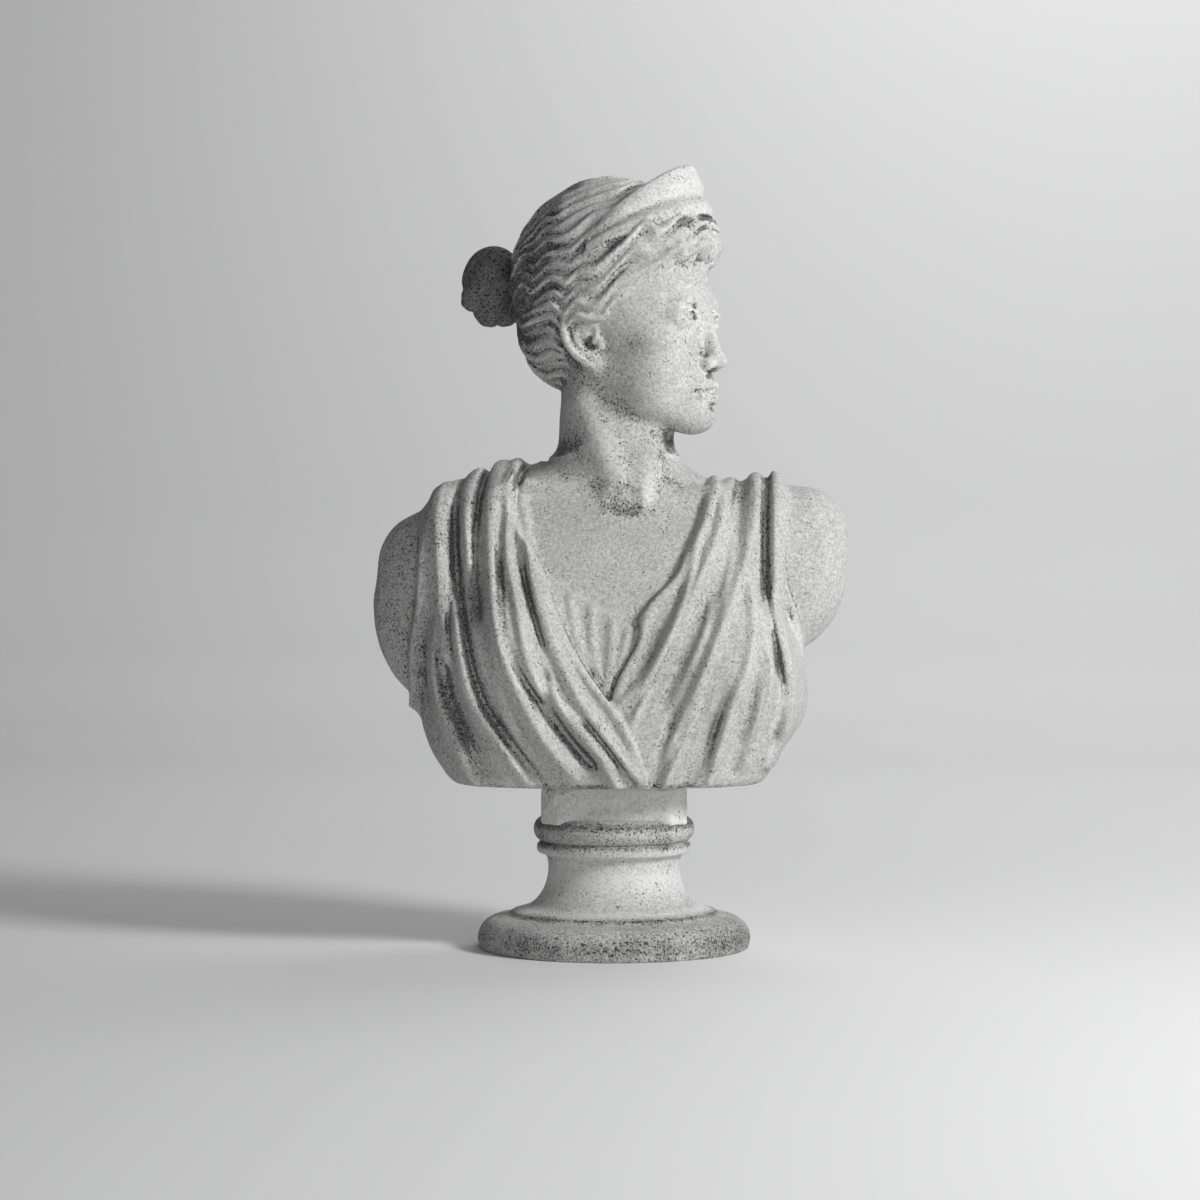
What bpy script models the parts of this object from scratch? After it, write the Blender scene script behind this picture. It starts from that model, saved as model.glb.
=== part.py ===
# Draped classical bust of a woman, her head turned to one side, on a turned socle, in cast stone.
# The socle is a lathe profile with a chamfered block on top. The bust is modelled like clay:
# forms are added to and cut from a field of distances, and its zero surface becomes the mesh.
import math

import bpy
import numpy as np

# Driving dimensions, in metres
BUST_HEIGHT = 0.594  # from its flat underside to the top of the diadem
JOINT_GAP = 0.0003  # between the bust and the socle's block

FOOT_RADIUS = 0.134  # the socle's bottom roll, at its widest
FOOT_HEIGHT = 0.032
STEP_RADIUS = 0.100  # the fillet above the bottom roll
STEP_HEIGHT = 0.006
WAIST_RADIUS = 0.0645  # the hollow's narrowest ring
HOLLOW_HEIGHT = 0.054
COLLAR_RADIUS = 0.0760  # the thin ring above the hollow
COLLAR_HEIGHT = 0.012
ROLL_RADIUS = 0.0790  # the round roll below the block
ROLL_HEIGHT = 0.024
BLOCK_WIDTH = 0.142
BLOCK_DEPTH = 0.118
BLOCK_HEIGHT = 0.0385
BLOCK_CHAMFER = 0.016
BLOCK_SINK = 0.006  # how far the block reaches down into the roll
LATHE_STEPS = 36

# The figure is measured in parts, of which its height has this many, from z = 0 at its underside.
# x runs to the viewer's right and -y is the front.
FIGURE_PARTS = 594.0
CELL = 3.2  # grid cell of the modelling field, in parts
BUST_TRIANGLES = 7500
HEAD_FROM, HEAD_THINNING = 345.0, 0.95  # above this height fewer faces are taken away
FIELD_LOW = np.array([-250.0, -150.0, -14.0])
FIELD_HIGH = np.array([245.0, 120.0, 612.0])

# The head, as a share of a head 222 parts tall, with its origin between the eyes' level and the ears
HEAD_CENTRE = np.array([8.0, -8.0, 449.0])
HEAD_SCALE = 1.0
HEAD_TURN = math.radians(66.0)
HEAD_NOD = math.radians(2.0)
HAIR_CENTRE = np.array([0.0, 12.0, 38.0])
HAIR_RADII = np.array([80.0, 97.0, 94.0])
FRONT_HAIR_CENTRE = np.array([0.0, -26.0, 68.0])
FRONT_HAIR_RADII = np.array([76.0, 72.0, 52.0])

STONE = (0.42, 0.42, 0.41, 1.0)
STONE_ROUGHNESS = 0.92


# Field of distances

BLOCK = 4  # points along each side of a block
FAR = 40.0


def blend_min(a, b, k):
    """The union of two fields, melted together over about k parts."""
    h = np.clip(0.5 + 0.5 * (b - a) / k, 0.0, 1.0)
    return b + (a - b) * h - k * h * (1.0 - h)


def smoothstep(x, low, high):
    t = np.clip((x - low) / (high - low), 0.0, 1.0)
    return t * t * (3.0 - 2.0 * t)


def turn_about(axis, angle):
    """A rotation matrix about a unit axis."""
    x, y, z = axis
    c, s = math.cos(angle), math.sin(angle)
    cross = np.array([[0, -z, y], [z, 0, -x], [-y, x, 0]])
    return np.eye(3) * c + (1 - c) * np.outer(axis, axis) + s * cross


class Clay:
    """Blocks of points, each point with its distance to the clay's surface, negative inside it."""

    def __init__(self, points, depth=None):
        self.points = points
        self.depth = np.full(points.shape[:2], 999.0) if depth is None else depth
        self.centres = (points.max(axis=1) + points.min(axis=1)) / 2
        self.radius = np.linalg.norm(points[:, -1] - points[:, 0], axis=1).max() / 2

    def seen_from(self, centre, turn, scale):
        """The same clay in a turned and scaled frame. put_back returns it."""
        points = (self.points - centre) @ turn / scale
        return Clay(points, self.depth / scale)

    def put_back(self, turned, scale):
        self.depth = turned.depth * scale

    def within(self, low, high, reach):
        low = np.asarray(low) - reach - self.radius
        high = np.asarray(high) + reach + self.radius
        return np.flatnonzero(np.all((self.centres > low) & (self.centres < high), axis=1))

    def add(self, low, high, shape, k):
        """Adds a shape whose surface stays between two corners."""
        ids = self.within(low, high, FAR)
        self.depth[ids] = blend_min(self.depth[ids], shape(self.points[ids]), k)

    def cut(self, low, high, shape, k):
        ids = self.within(low, high, k)
        self.depth[ids] = -blend_min(-self.depth[ids], shape(self.points[ids]), k)

    def ball(self, centre, radii, k, turn=None, cut=False):
        """Adds or cuts an ellipsoid."""
        centre = np.asarray(centre, float)
        radii = np.broadcast_to(np.asarray(radii, float), 3)

        def shape(p):
            q = p - centre if turn is None else (p - centre) @ turn
            outer = np.linalg.norm(q / radii, axis=-1)
            inner = np.linalg.norm(q / radii**2, axis=-1)
            return outer * (outer - 1.0) / np.maximum(inner, 1e-6)

        reach = radii.max()
        (self.cut if cut else self.add)(centre - reach, centre + reach, shape, k)

    def limb(self, start, end, start_radius, end_radius, k):
        """Adds a rounded cone."""
        start, end = np.asarray(start, float), np.asarray(end, float)
        run = end - start

        def shape(p):
            t = np.clip((p - start) @ run / (run @ run), 0.0, 1.0)
            near = np.linalg.norm(p - start - t[..., None] * run, axis=-1)
            return near - (start_radius + (end_radius - start_radius) * t)

        reach = max(start_radius, end_radius)
        self.add(np.minimum(start, end) - reach, np.maximum(start, end) + reach, shape, k)

    def near_path(self, path, reach):
        """The blocks near a path, and for their points the distance to it and the share of the way along."""
        lengths = np.linalg.norm(np.diff(path, axis=0), axis=1)
        share = np.concatenate([[0.0], np.cumsum(lengths)]) / lengths.sum()
        ids = self.within(path.min(axis=0), path.max(axis=0), reach)
        closest, _ = path_distance(self.centres[ids][:, None], path, share)
        ids = ids[closest[:, 0] < reach + self.radius]
        return ids, *path_distance(self.points[ids], path, share)

    def ridge(self, path, width, height, start=0.25, end=0.25):
        """Raises a fold along a path on the surface, or sinks a groove if the height is negative.
        It fades in over the first share of its length and out over the last."""
        ids, away, share = self.near_path(path, width)
        hill = np.clip(1.0 - (away / width) ** 2, 0.0, 1.0) ** 1.5
        fade = smoothstep(share, -0.001, start + 0.001) * smoothstep(1.0 - share, -0.001, end + 0.001)
        self.depth[ids] -= height * hill * fade

    def lock(self, path, radius, k, tip=0.35, root=0.7):
        """Adds a lock of hair, a rounded rope along a path that is thinner at its root and its tip."""
        ids, away, share = self.near_path(path, radius + FAR / 4)
        swell = root + (1.0 - root) * smoothstep(share, 0.0, 0.25)
        swell *= tip + (1.0 - tip) * smoothstep(1.0 - share, 0.0, 0.3)
        self.depth[ids] = blend_min(self.depth[ids], away - radius * swell, k)


def path_distance(points, path, share):
    best = np.full(points.shape[:-1], np.inf)
    along = np.zeros(points.shape[:-1])
    for a, b, s0, s1 in zip(path[:-1], path[1:], share[:-1], share[1:]):
        run = b - a
        t = np.clip((points - a) @ run / (run @ run), 0.0, 1.0)
        away = np.linalg.norm(points - a - t[..., None] * run, axis=-1)
        closer = away < best
        best = np.where(closer, away, best)
        along = np.where(closer, s0 + t * (s1 - s0), along)
    return best, along


def surface_points(build, starts, direction, reach, step=3.0):
    """Where rays from the starts first meet the clay that build makes."""
    starts = np.asarray(starts, float)
    direction = np.broadcast_to(np.asarray(direction, float), starts.shape)
    travel = np.arange(0.0, reach, step)
    clay = Clay(starts[:, None] + travel[None, :, None] * direction[:, None])
    build(clay)
    inside = clay.depth < 0
    first = np.maximum(np.argmax(inside, axis=1), 1)
    rows = np.arange(len(starts))
    outer, inner = clay.depth[rows, first - 1], clay.depth[rows, first]
    part = outer / np.maximum(outer - inner, 1e-6)
    distance = travel[first - 1] + step * np.clip(part, 0.0, 1.0)
    return starts + distance[:, None] * direction


def bezier(points, count):
    """A smooth curve of count points, drawn towards the inner control points."""
    points = np.asarray(points, float)
    t = np.linspace(0.0, 1.0, count)[:, None]
    order = len(points) - 1
    terms = [math.comb(order, i) * t**i * (1 - t) ** (order - i) * p for i, p in enumerate(points)]
    return np.sum(terms, axis=0)


def spline(points, count):
    """A smooth curve of count points through all the points, evenly spaced along their length."""
    points = np.asarray(points, float)
    lengths = np.linalg.norm(np.diff(points, axis=0), axis=1)
    knots = np.concatenate([[0.0], np.cumsum(lengths)])
    t = np.linspace(0.0, knots[-1], count)
    return np.stack([smooth_curve(t, knots, points[:, i]) for i in range(points.shape[1])], axis=1)


def smooth_curve(x, knots, values):
    """A smooth line through the values at the knots."""
    knots, values = np.asarray(knots, float), np.asarray(values, float)
    slopes = np.gradient(values, knots)
    i = np.clip(np.searchsorted(knots, x) - 1, 0, len(knots) - 2)
    span = knots[i + 1] - knots[i]
    t = np.clip((x - knots[i]) / span, 0.0, 1.0)
    rise = values[i] * (1 + 2 * t) * (1 - t) ** 2 + values[i + 1] * t * t * (3 - 2 * t)
    return rise + span * (slopes[i] * t * (1 - t) ** 2 - slopes[i + 1] * t * t * (1 - t))


# Torso, shoulders, arms and neck

TORSO_LEVELS = (-20, 0, 30, 70, 110, 150, 190, 230, 262, 290, 315)
TORSO_LEFT = (135, 145, 165, 177, 177, 174, 171, 165, 140, 100, 60)
TORSO_RIGHT = (127, 136, 154, 178, 178, 168, 160, 156, 140, 100, 60)
TORSO_FRONT = (84, 90, 96, 100, 100, 94, 84, 68, 53, 42, 36)
TORSO_BACK = (56, 62, 70, 77, 81, 84, 84, 80, 70, 56, 43)
TORSO_SQUARENESS = 2.5

SHOULDERS = (
    ((-75, 10, 262), (-150, 6, 240), 44, 42),
    ((60, 10, 243), (152, 6, 242), 42, 41),
)
BREASTS = (((-94, -60, 124), (62, 52, 58)), ((100, -60, 122), (60, 52, 58)))
NECK = ((0, 14, 240), (4, -4, 400), 58, 55)
ARMS = (
    ((-158, 6, 171), (78, 55, 98)),
    ((-176, 4, 216), (54, 46, 50)),
    ((152, 6, 207), (76, 53, 84)),
)
RIGHT_ARM_TOP = ((150, 4, 245), (184, 4, 245), 46, 45)
COLLARBONES = (((-22, -38, 276), (-84, -42, 292)), ((26, -38, 272), (88, -42, 284)))
NECK_CORDS = (((-30, -36, 372), (4, -51, 284)), ((44, -32, 372), (22, -51, 280)))
NECK_PIT = ((13, -62, 276), (14, 10, 12))
UNDERSIDE_ROUNDING = 9.0


def add_torso(clay):
    def shape(p):
        x, y, z = p[..., 0], p[..., 1], p[..., 2]
        left, right = (smooth_curve(z, TORSO_LEVELS, w) for w in (TORSO_LEFT, TORSO_RIGHT))
        front, back = (smooth_curve(z, TORSO_LEVELS, d) for d in (TORSO_FRONT, TORSO_BACK))
        wide, deep = np.where(x < 0, left, right), np.where(y < 0, front, back)
        n = TORSO_SQUARENESS
        around = (np.abs(x / wide) ** n + np.abs(y / deep) ** n) ** (1 / n)
        slope = np.hypot(np.abs(x / wide) ** (n - 1) / wide, np.abs(y / deep) ** (n - 1) / deep)
        slope *= np.maximum(around, 0.3) ** (1 - n)
        side = (around - 1.0) / np.maximum(slope, 0.5 / np.maximum(wide, deep))
        return np.maximum(side, z - TORSO_LEVELS[-1])

    clay.add((-190, -110, -40), (190, 90, 320), shape, 1.0)
    for start, end, start_radius, end_radius in SHOULDERS:
        clay.limb(start, end, start_radius, end_radius, 18.0)
    for centre, radii in BREASTS:
        clay.ball(centre, radii, 26.0)
    for centre, radii in ARMS:
        clay.ball(centre, radii, 9.0)
    clay.limb(*RIGHT_ARM_TOP, 9.0)


def add_neck(clay):
    clay.limb(*NECK, 22.0)
    for start, end in COLLARBONES:
        clay.limb(start, end, 8.0, 7.0, 14.0)
    for start, end in NECK_CORDS:
        clay.limb(start, end, 11.0, 5.0, 14.0)
    clay.ball(*NECK_PIT, 10.0, cut=True)


def trim_underside(clay):
    clay.cut((-260, -160, -40), (260, 160, 4), lambda p: p[..., 2], UNDERSIDE_ROUNDING)


# Drapery. A place on the cloth is (x, s): s is the height up the front as far as SHOULDER_FRONT, then
# the way over the shoulder to SHOULDER_BACK, and from there the way down the back.

SHOULDER_FRONT, SHOULDER_BACK, SHOULDER_LEVEL, SHOULDER_AXIS_Y = 235.0, 385.0, 235.0, 8.0

LEFT_EDGE = ((0, 67, 97, 133, 183, 205, 228, 257, 293, 316, 340), (36, 8, -15, -38, -59, -66, -78, -96, -99, -88, -78))
RIGHT_EDGE = ((0, 73, 103, 150, 163, 178, 203, 225, 259, 290, 330), (-30, -8, 2, 24, 24, 34, 58, 68, 85, 94, 90))
NECKLINE = ((-70, -53, -15, 8, 27, 45), (206, 196, 173, 160, 151, 148))
BACK_NECKLINE = ((-120, -80, -45, 0, 50, 86, 120), (360, 330, 292, 282, 292, 330, 360))
LEFT_ARMHOLE = ((0, 86, 134, 172, 230, 270, 300), (-230, -200, -198, -192, -188, -183, -170))
RIGHT_ARMHOLE = ((0, 75, 120, 154, 196, 247, 292, 310), (230, 205, 188, 181, 167, 164, 166, 160))
SHIFT_DEPTH, RIGHT_DEPTH, LEFT_DEPTH, BACK_DEPTH = 3.5, 9.5, 12.5, 9.0
HEM = 2.5  # half the width over which a layer of cloth rises

# Folds: start, bend and end as (x, s), then the width and the height
LEFT_FOLDS = (
    ((-168, 400), (-174, 290), (-168, 190), (-170, 100), (-136, 4), 13, 7.0),
    ((-150, 420), (-158, 300), (-166, 190), (-158, 110), 10, 7.0),
    ((-132, 430), (-150, 330), (-158, 230), (-146, 92), (-74, 2), 12, 9.0),
    ((-108, 430), (-124, 330), (-146, 270), (-138, 210), 13, 8.0),
    ((-88, 420), (-104, 330), (-124, 240), (-116, 96), (-38, 2), 15, 11.0),
    ((-76, 360), (-100, 300), (-100, 190), (-78, 96), (4, 4), 12, 9.0),
    ((-92, 284), (-72, 180), (-44, 100), (38, 0), 12, 7.5),
    ((-66, 112), (-44, 60), (6, -6), 8, 5.0),
)
LEFT_HOLLOWS = (
    ((-142, 420), (-156, 300), (-150, 180), (-130, 90), (-56, -4), 12, -7.0),
    ((-98, 420), (-114, 330), (-124, 270), (-132, 210), (-128, 150), 10, -7.0),
    ((-80, 390), (-106, 300), (-108, 200), (-96, 110), (-18, 18), 9, -7.0),
    ((-72, 110), (-54, 62), (-14, 20), 7, -7.0),
    ((-162, 300), (-160, 190), (-160, 90), (-116, 4), 12, -6.0),
    ((-34, 68), (-4, 38), (24, -4), 6, -6.0),
)
RIGHT_FOLDS = (
    ((96, 400), (98, 300), (72, 195), (-6, 72), 11, 7.5),
    ((112, 420), (114, 330), (104, 210), (58, 130), (6, 48), 11, 9.0),
    ((130, 430), (138, 330), (126, 200), (86, 100), (34, 10), 11, 8.0),
    ((136, 210), (128, 150), (116, 96), 9, 5.5),
    ((122, 300), (116, 240), (104, 200), 9, 5.0),
    ((148, 262), (158, 130), (152, 60), (124, 0), 12, 7.5),
    ((158, 420), (156, 330), (150, 220), (164, 140), (172, 80), 11, 9.0),
    ((172, 130), (172, 80), (146, 12), 10, 6.0),
    ((94, 116), (84, 60), (68, -4), 10, 6.5),
)
RIGHT_HOLLOWS = (
    ((88, 280), (66, 160), (16, 36), 8, -6.0),
    ((122, 430), (128, 330), (116, 220), (84, 120), (26, 20), 8, -6.0),
    ((124, 142), (108, 72), (82, -4), 10, -8.0),
    ((146, 420), (148, 330), (142, 210), (168, 96), 9, -9.0),
    ((66, 96), (58, 50), (50, -4), 9, -5.0),
    ((106, 180), (112, 120), (92, 60), 13, -4.0),
)
SHIFT_FOLDS = (((-40, 186), (-30, 140), (-22, 110), 7, 3.0), ((-6, 168), (-6, 130), (-8, 95), 8, 3.5))
EDGE_FOLDS = ((LEFT_EDGE, -5, 305, 20), (RIGHT_EDGE, 5, 300, 75))
BACK_FOLDS, BACK_WIDTH = 6, 270.0
FOLD_POINTS = 21


def layer_of_cloth(p):
    """How thick the cloth lies at each point: shift, right swathe and left swathe over each other."""
    x, y, z = p[..., 0], p[..., 1], p[..., 2]
    shift = SHIFT_DEPTH * smoothstep(smooth_curve(x, *NECKLINE) - z, -HEM, HEM)
    right = RIGHT_DEPTH * smoothstep(x - smooth_curve(z, *RIGHT_EDGE), -HEM, HEM)
    left = LEFT_DEPTH * smoothstep(smooth_curve(z, *LEFT_EDGE) - x, -HEM, HEM)
    front = np.maximum(np.maximum(shift, right), left)
    back = BACK_DEPTH * smoothstep(smooth_curve(x, *BACK_NECKLINE) - z, -HEM, HEM)
    cloth = front + (back - front) * smoothstep(y, 4.0, 30.0)
    armholes = smoothstep(x - smooth_curve(z, *LEFT_ARMHOLE), -HEM, HEM)
    armholes *= smoothstep(smooth_curve(z, *RIGHT_ARMHOLE) - x, -HEM, HEM)
    return cloth * armholes


def add_cloth(clay):
    ids = clay.within((-215, -140, -40), (215, 110, 330), 0.0)
    clay.depth[ids] -= layer_of_cloth(clay.points[ids])


def add_clothed_torso(clay):
    add_torso(clay)
    add_cloth(clay)


def on_cloth(places, count=FOLD_POINTS):
    """A curve through places on the cloth, laid on its surface."""
    line = bezier(places, count) if len(places) == 3 else spline(places, count)
    x, s = line[:, 0], line[:, 1]
    turn = np.clip((s - SHOULDER_FRONT) / (SHOULDER_BACK - SHOULDER_FRONT), 0.0, 1.0) * math.pi
    level = np.where(s < SHOULDER_FRONT, s, SHOULDER_LEVEL - np.maximum(s - SHOULDER_BACK, 0.0))
    direction = np.stack([np.zeros(count), np.cos(turn), -np.sin(turn)], axis=1)
    middle = np.stack([x, np.full(count, SHOULDER_AXIS_Y), level], axis=1)
    return surface_points(add_clothed_torso, middle - 150 * direction, direction, 150.0)


def add_drapery(clay):
    add_cloth(clay)
    for fold in LEFT_FOLDS + LEFT_HOLLOWS + RIGHT_FOLDS + RIGHT_HOLLOWS + SHIFT_FOLDS:
        *places, width, height = fold
        clay.ridge(on_cloth(places), width, height, 0.15, 0.06)
    for edge, inward, top, bottom in EDGE_FOLDS:
        levels = np.linspace(top, bottom, 12)
        places = np.stack([smooth_curve(levels, *edge) + inward, levels], axis=1)
        clay.ridge(on_cloth(places), 7.5, 4.0, 0.1, 0.1)
    for i in range(BACK_FOLDS):
        x = BACK_WIDTH * (i / (BACK_FOLDS - 1) - 0.5) + 9.0 * math.sin(2.4 * i)
        sway = 16.0 * math.sin(1.7 * i)
        clay.ridge(on_cloth(((0.78 * x, 385), (x + sway, 500), (1.05 * x + 22, 640))), 15, 6.0 + i % 3, 0.3, 0.0)
        hollow = x + BACK_WIDTH / BACK_FOLDS / 2
        clay.ridge(on_cloth(((0.8 * hollow, 400), (hollow + sway, 510), (1.05 * hollow + 22, 640))), 11, -4.0, 0.3, 0.0)


# Head, in its own frame: the face looks along -y, and lengths are for a head 222 tall


def add_skull(clay):
    clay.ball((0, 4, 32), (75, 93, 80), 1.0)
    clay.ball((0, -27, -28), (62, 60, 82), 20.0)
    for side in (-1, 1):
        clay.limb((side * 47, -8, -56), (side * 14, -62, -92), 17, 17, 18.0)
        clay.ball((side * 42, -50, -25), (21, 22, 19), 14.0)
    clay.ball((0, -75, -94), (19, 18, 17), 12.0)
    clay.ball((0, -66, -68), (31, 27, 25), 12.0)


def add_face(clay):
    clay.limb((-36, -78, 13), (36, -78, 13), 9.0, 9.0, 12.0)
    for side in (-1, 1):
        clay.ball((side * 31, -100, -1), (19, 19, 12), 9.0, cut=True)
        clay.ball((side * 31, -73.5, -3), 14.0, 1.5)
        clay.ball((side * 11, -91, -46.5), (6, 9, 6.5), 4.0)
    clay.limb((0, -82, 14), (0, -98, -40), 7.0, 8.5, 9.0)
    clay.ball((0, -99, -44), (9.5, 10.5, 8), 4.0)
    for side in (-1, 1):
        clay.limb((0, -91, -66.5), (side * 19, -83, -70.5), 5.0, 2.5, 4.0)
        clay.limb((0, -90, -77.5), (side * 16, -83, -74.5), 6.0, 3.0, 4.0)
    lips = np.array([(-25, -80, -72), (-12, -91, -71.5), (0, -94, -71.5), (12, -91, -71.5), (25, -80, -72.0)])
    clay.ridge(lips, 3.5, -3.0, 0.1, 0.1)


def add_ear(clay, side):
    clay.ball((side * 72, 13, -19), (8, 15, 27), 4.0, turn_about((1, 0, 0), -0.25))
    clay.ball((side * 80, 10, -16), (7, 8, 15), 3.0, turn_about((1, 0, 0), -0.25), cut=True)


# Hair: locks run over the scalp to a knot at the back

HAIR_KNOT = ((0, 137, 45), (37, 33, 41))
SIDE_LOCKS, CAP_LOCKS, NAPE_LOCKS = 5, 4, 4
LOCK_POINTS = 26
LOCK_LIFT = 2.0  # how far the locks' middles lie above the scalp


HAIRLINE = ((-120, -80, -40, -8, 20, 60), (52, 44, 18, -8, -30, -74))


def add_hair_mass(clay):
    def shape(p):
        q = p - HAIR_CENTRE
        outer = np.linalg.norm(q / HAIR_RADII, axis=-1)
        inner = np.linalg.norm(q / HAIR_RADII**2, axis=-1)
        back = outer * (outer - 1.0) / np.maximum(inner, 1e-6)
        q = p - FRONT_HAIR_CENTRE
        outer = np.linalg.norm(q / FRONT_HAIR_RADII, axis=-1)
        inner = np.linalg.norm(q / FRONT_HAIR_RADII**2, axis=-1)
        front = outer * (outer - 1.0) / np.maximum(inner, 1e-6)
        return np.maximum(blend_min(back, front, 14.0), smooth_curve(p[..., 1], *HAIRLINE) - p[..., 2])

    reach = HAIR_RADII + 12
    clay.add(HAIR_CENTRE - reach, HAIR_CENTRE + reach, shape, 3.0)
    clay.ball((0, 56, -14), (52, 45, 46), 12.0)
    clay.ball((0, -80, 92), (20, 18, 22), 8.0)


def add_head_mass(clay):
    add_skull(clay)
    add_hair_mass(clay)


def on_scalp(points, wave, waves, phase, count=LOCK_POINTS):
    """A curve laid on the head, given as directions from the hair's centre, swinging from side to side."""
    line = bezier(points, count)
    line /= np.linalg.norm(line, axis=1)[:, None]
    along = np.gradient(line, axis=0)
    across = np.cross(along, line)
    across /= np.linalg.norm(across, axis=1)[:, None]
    swing = wave * np.sin(np.linspace(0, 2 * math.pi * waves, count) + phase)
    line += across * swing[:, None]
    line /= np.linalg.norm(line, axis=1)[:, None]
    return surface_points(add_head_mass, HAIR_CENTRE + 150 * line, -line, 130.0) + LOCK_LIFT * line


def bearing(around, up):
    """A direction from the hair's centre: degrees round from the face, and degrees above its level."""
    around, up = math.radians(around), math.radians(up)
    return np.array([math.sin(around) * math.cos(up), -math.cos(around) * math.cos(up), math.sin(up)])


def mirrored(points, side):
    return [p * np.array([side, 1, 1]) for p in points]


def add_hair(clay):
    for side in (-1, 1):
        for i in range(SIDE_LOCKS):
            up = i / (SIDE_LOCKS - 1)
            points = (bearing(2, 15 + 11 * up), bearing(38, 8 + 18 * up), bearing(78, -26 + 34 * up),
                      bearing(118, -20 + 36 * up), bearing(168, -12 + 14 * up))
            path = on_scalp(mirrored(points, side), 0.05, 4.5, 0.5 * i)
            clay.lock(path, 9.0, 2.0)
        for i in range(CAP_LOCKS):
            out = math.radians(6 + 74 * i / (CAP_LOCKS - 1))
            start = np.array([math.sin(out), -0.55 * math.cos(out), 0.95 * math.cos(out) + 0.2])
            middle = np.array([1.1 * math.sin(out), 0.55, 0.85 * math.cos(out) + 0.1])
            end = np.array([0.12, 1.0, 0.16 - 0.03 * i])
            path = on_scalp(mirrored((start, middle, end), side), 0.03, 2.0, 1.1 * i)
            clay.lock(path, 11.0, 2.0)
        for i in range(NAPE_LOCKS):
            round_by = i / (NAPE_LOCKS - 1)
            points = (bearing(112 + 60 * round_by, -40 - 16 * round_by), bearing(140 + 35 * round_by, -32),
                      bearing(165 + 12 * round_by, -12))
            path = on_scalp(mirrored(points, side), 0.02, 1.0, 0.8 * i)
            clay.lock(path, 7.5, 2.0, root=0.5)


def add_knot(clay):
    clay.ball(*HAIR_KNOT, 5.0)
    centre, radii = (np.array(v, float) for v in HAIR_KNOT)
    turns = np.linspace(0, 2 * math.pi, 30)
    for share in (0.35, 0.75):
        ring = np.stack([np.cos(turns) * share, np.full(30, math.sqrt(1 - share**2)), np.sin(turns) * share], axis=1)
        clay.ridge(centre + ring * radii, 6.0, -3.5, 0.0, 0.0)


# Diadem: a crescent that stands on the hair from ear to ear and leans back

DIADEM_CENTRE = np.array([0.0, -8.0])
DIADEM_RADII = np.array([80.0, 84.0])
DIADEM_END = math.radians(96)
DIADEM_LOW, DIADEM_DROP, DIADEM_RISE = 104.0, 36.0, 42.0
DIADEM_LEAN = 0.30
DIADEM_FOOT, DIADEM_TOP = 9.0, 4.5  # half its thickness


def diadem_shape(p):
    x, y, z = p[..., 0] - DIADEM_CENTRE[0], p[..., 1] - DIADEM_CENTRE[1], p[..., 2]
    around = np.arctan2(x / DIADEM_RADII[0], -y / DIADEM_RADII[1])
    share = np.clip(np.abs(around) / DIADEM_END, 0.0, 1.0)
    low = DIADEM_LOW - DIADEM_DROP * share**1.4
    rise = DIADEM_RISE * np.sqrt(1.0 - share**2) + 2.0
    up = np.clip((z - low) / rise, 0.0, 1.0)
    reach = np.hypot(x / DIADEM_RADII[0], y / DIADEM_RADII[1])
    radial = (reach - 1.0) * DIADEM_RADII[0] + DIADEM_LEAN * (z - low)
    half = DIADEM_FOOT + (DIADEM_TOP - DIADEM_FOOT) * up
    band = 2.5 * np.exp(-(((up - 0.1) / 0.14) ** 2)) - 3.5 * np.exp(-(((up - 0.45) / 0.13) ** 2))
    thick = np.abs(radial + half) - half - np.where(radial > -half, band, 0.0)
    tall = np.abs(z - low - rise / 2 + 3) - rise / 2 - 3
    past_end = (np.abs(around) - DIADEM_END) * 80.0
    return np.maximum(np.maximum(thick, tall), past_end) * 0.85


def add_diadem(clay):
    clay.add((-95, -105, 50), (95, 20, 152), diadem_shape, 2.0)


def sculpt(clay):
    """The whole figure."""
    add_torso(clay)
    add_neck(clay)
    add_drapery(clay)
    turn = turn_about((0, 0, 1), HEAD_TURN) @ turn_about((1, 0, 0), -HEAD_NOD)
    ids = np.flatnonzero(clay.centres[:, 2] > 290)
    upper = Clay(clay.points[ids], clay.depth[ids])
    head = upper.seen_from(HEAD_CENTRE, turn, HEAD_SCALE)
    neck = head.depth.copy()
    head.depth[:] = 999.0
    add_skull(head)
    add_face(head)
    add_hair_mass(head)
    for side in (-1, 1):
        add_ear(head, side)
    add_hair(head)
    add_knot(head)
    add_diadem(head)
    head.depth = blend_min(head.depth, neck, 9.0)
    upper.put_back(head, HEAD_SCALE)
    clay.depth[ids] = upper.depth
    trim_underside(clay)


# Mesh of the field's zero surface


def field_grid():
    """The field's values on a regular grid: far from the surface only the sign is kept."""
    size = BLOCK * CELL
    blocks = np.ceil((FIELD_HIGH - FIELD_LOW) / size).astype(int)
    corner = np.stack(np.meshgrid(*(np.arange(n) for n in blocks), indexing="ij"), axis=-1).reshape(-1, 3)
    inner = np.stack(np.meshgrid(*(np.arange(BLOCK),) * 3, indexing="ij"), axis=-1).reshape(-1, 3)
    rough = Clay((FIELD_LOW + (corner + 0.5) * size - CELL / 2)[:, None])
    sculpt(rough)
    near = np.flatnonzero(np.abs(rough.depth[:, 0]) < size * 1.6)
    fine = Clay(FIELD_LOW + corner[near][:, None] * size + inner[None] * CELL)
    sculpt(fine)
    values = np.repeat(np.where(rough.depth > 0, FAR, -FAR), BLOCK**3, axis=1)
    values[near] = fine.depth
    values = values.reshape(*blocks, BLOCK, BLOCK, BLOCK).transpose(0, 3, 1, 4, 2, 5)
    return fill_pinches(values.reshape(blocks * BLOCK))


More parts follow.
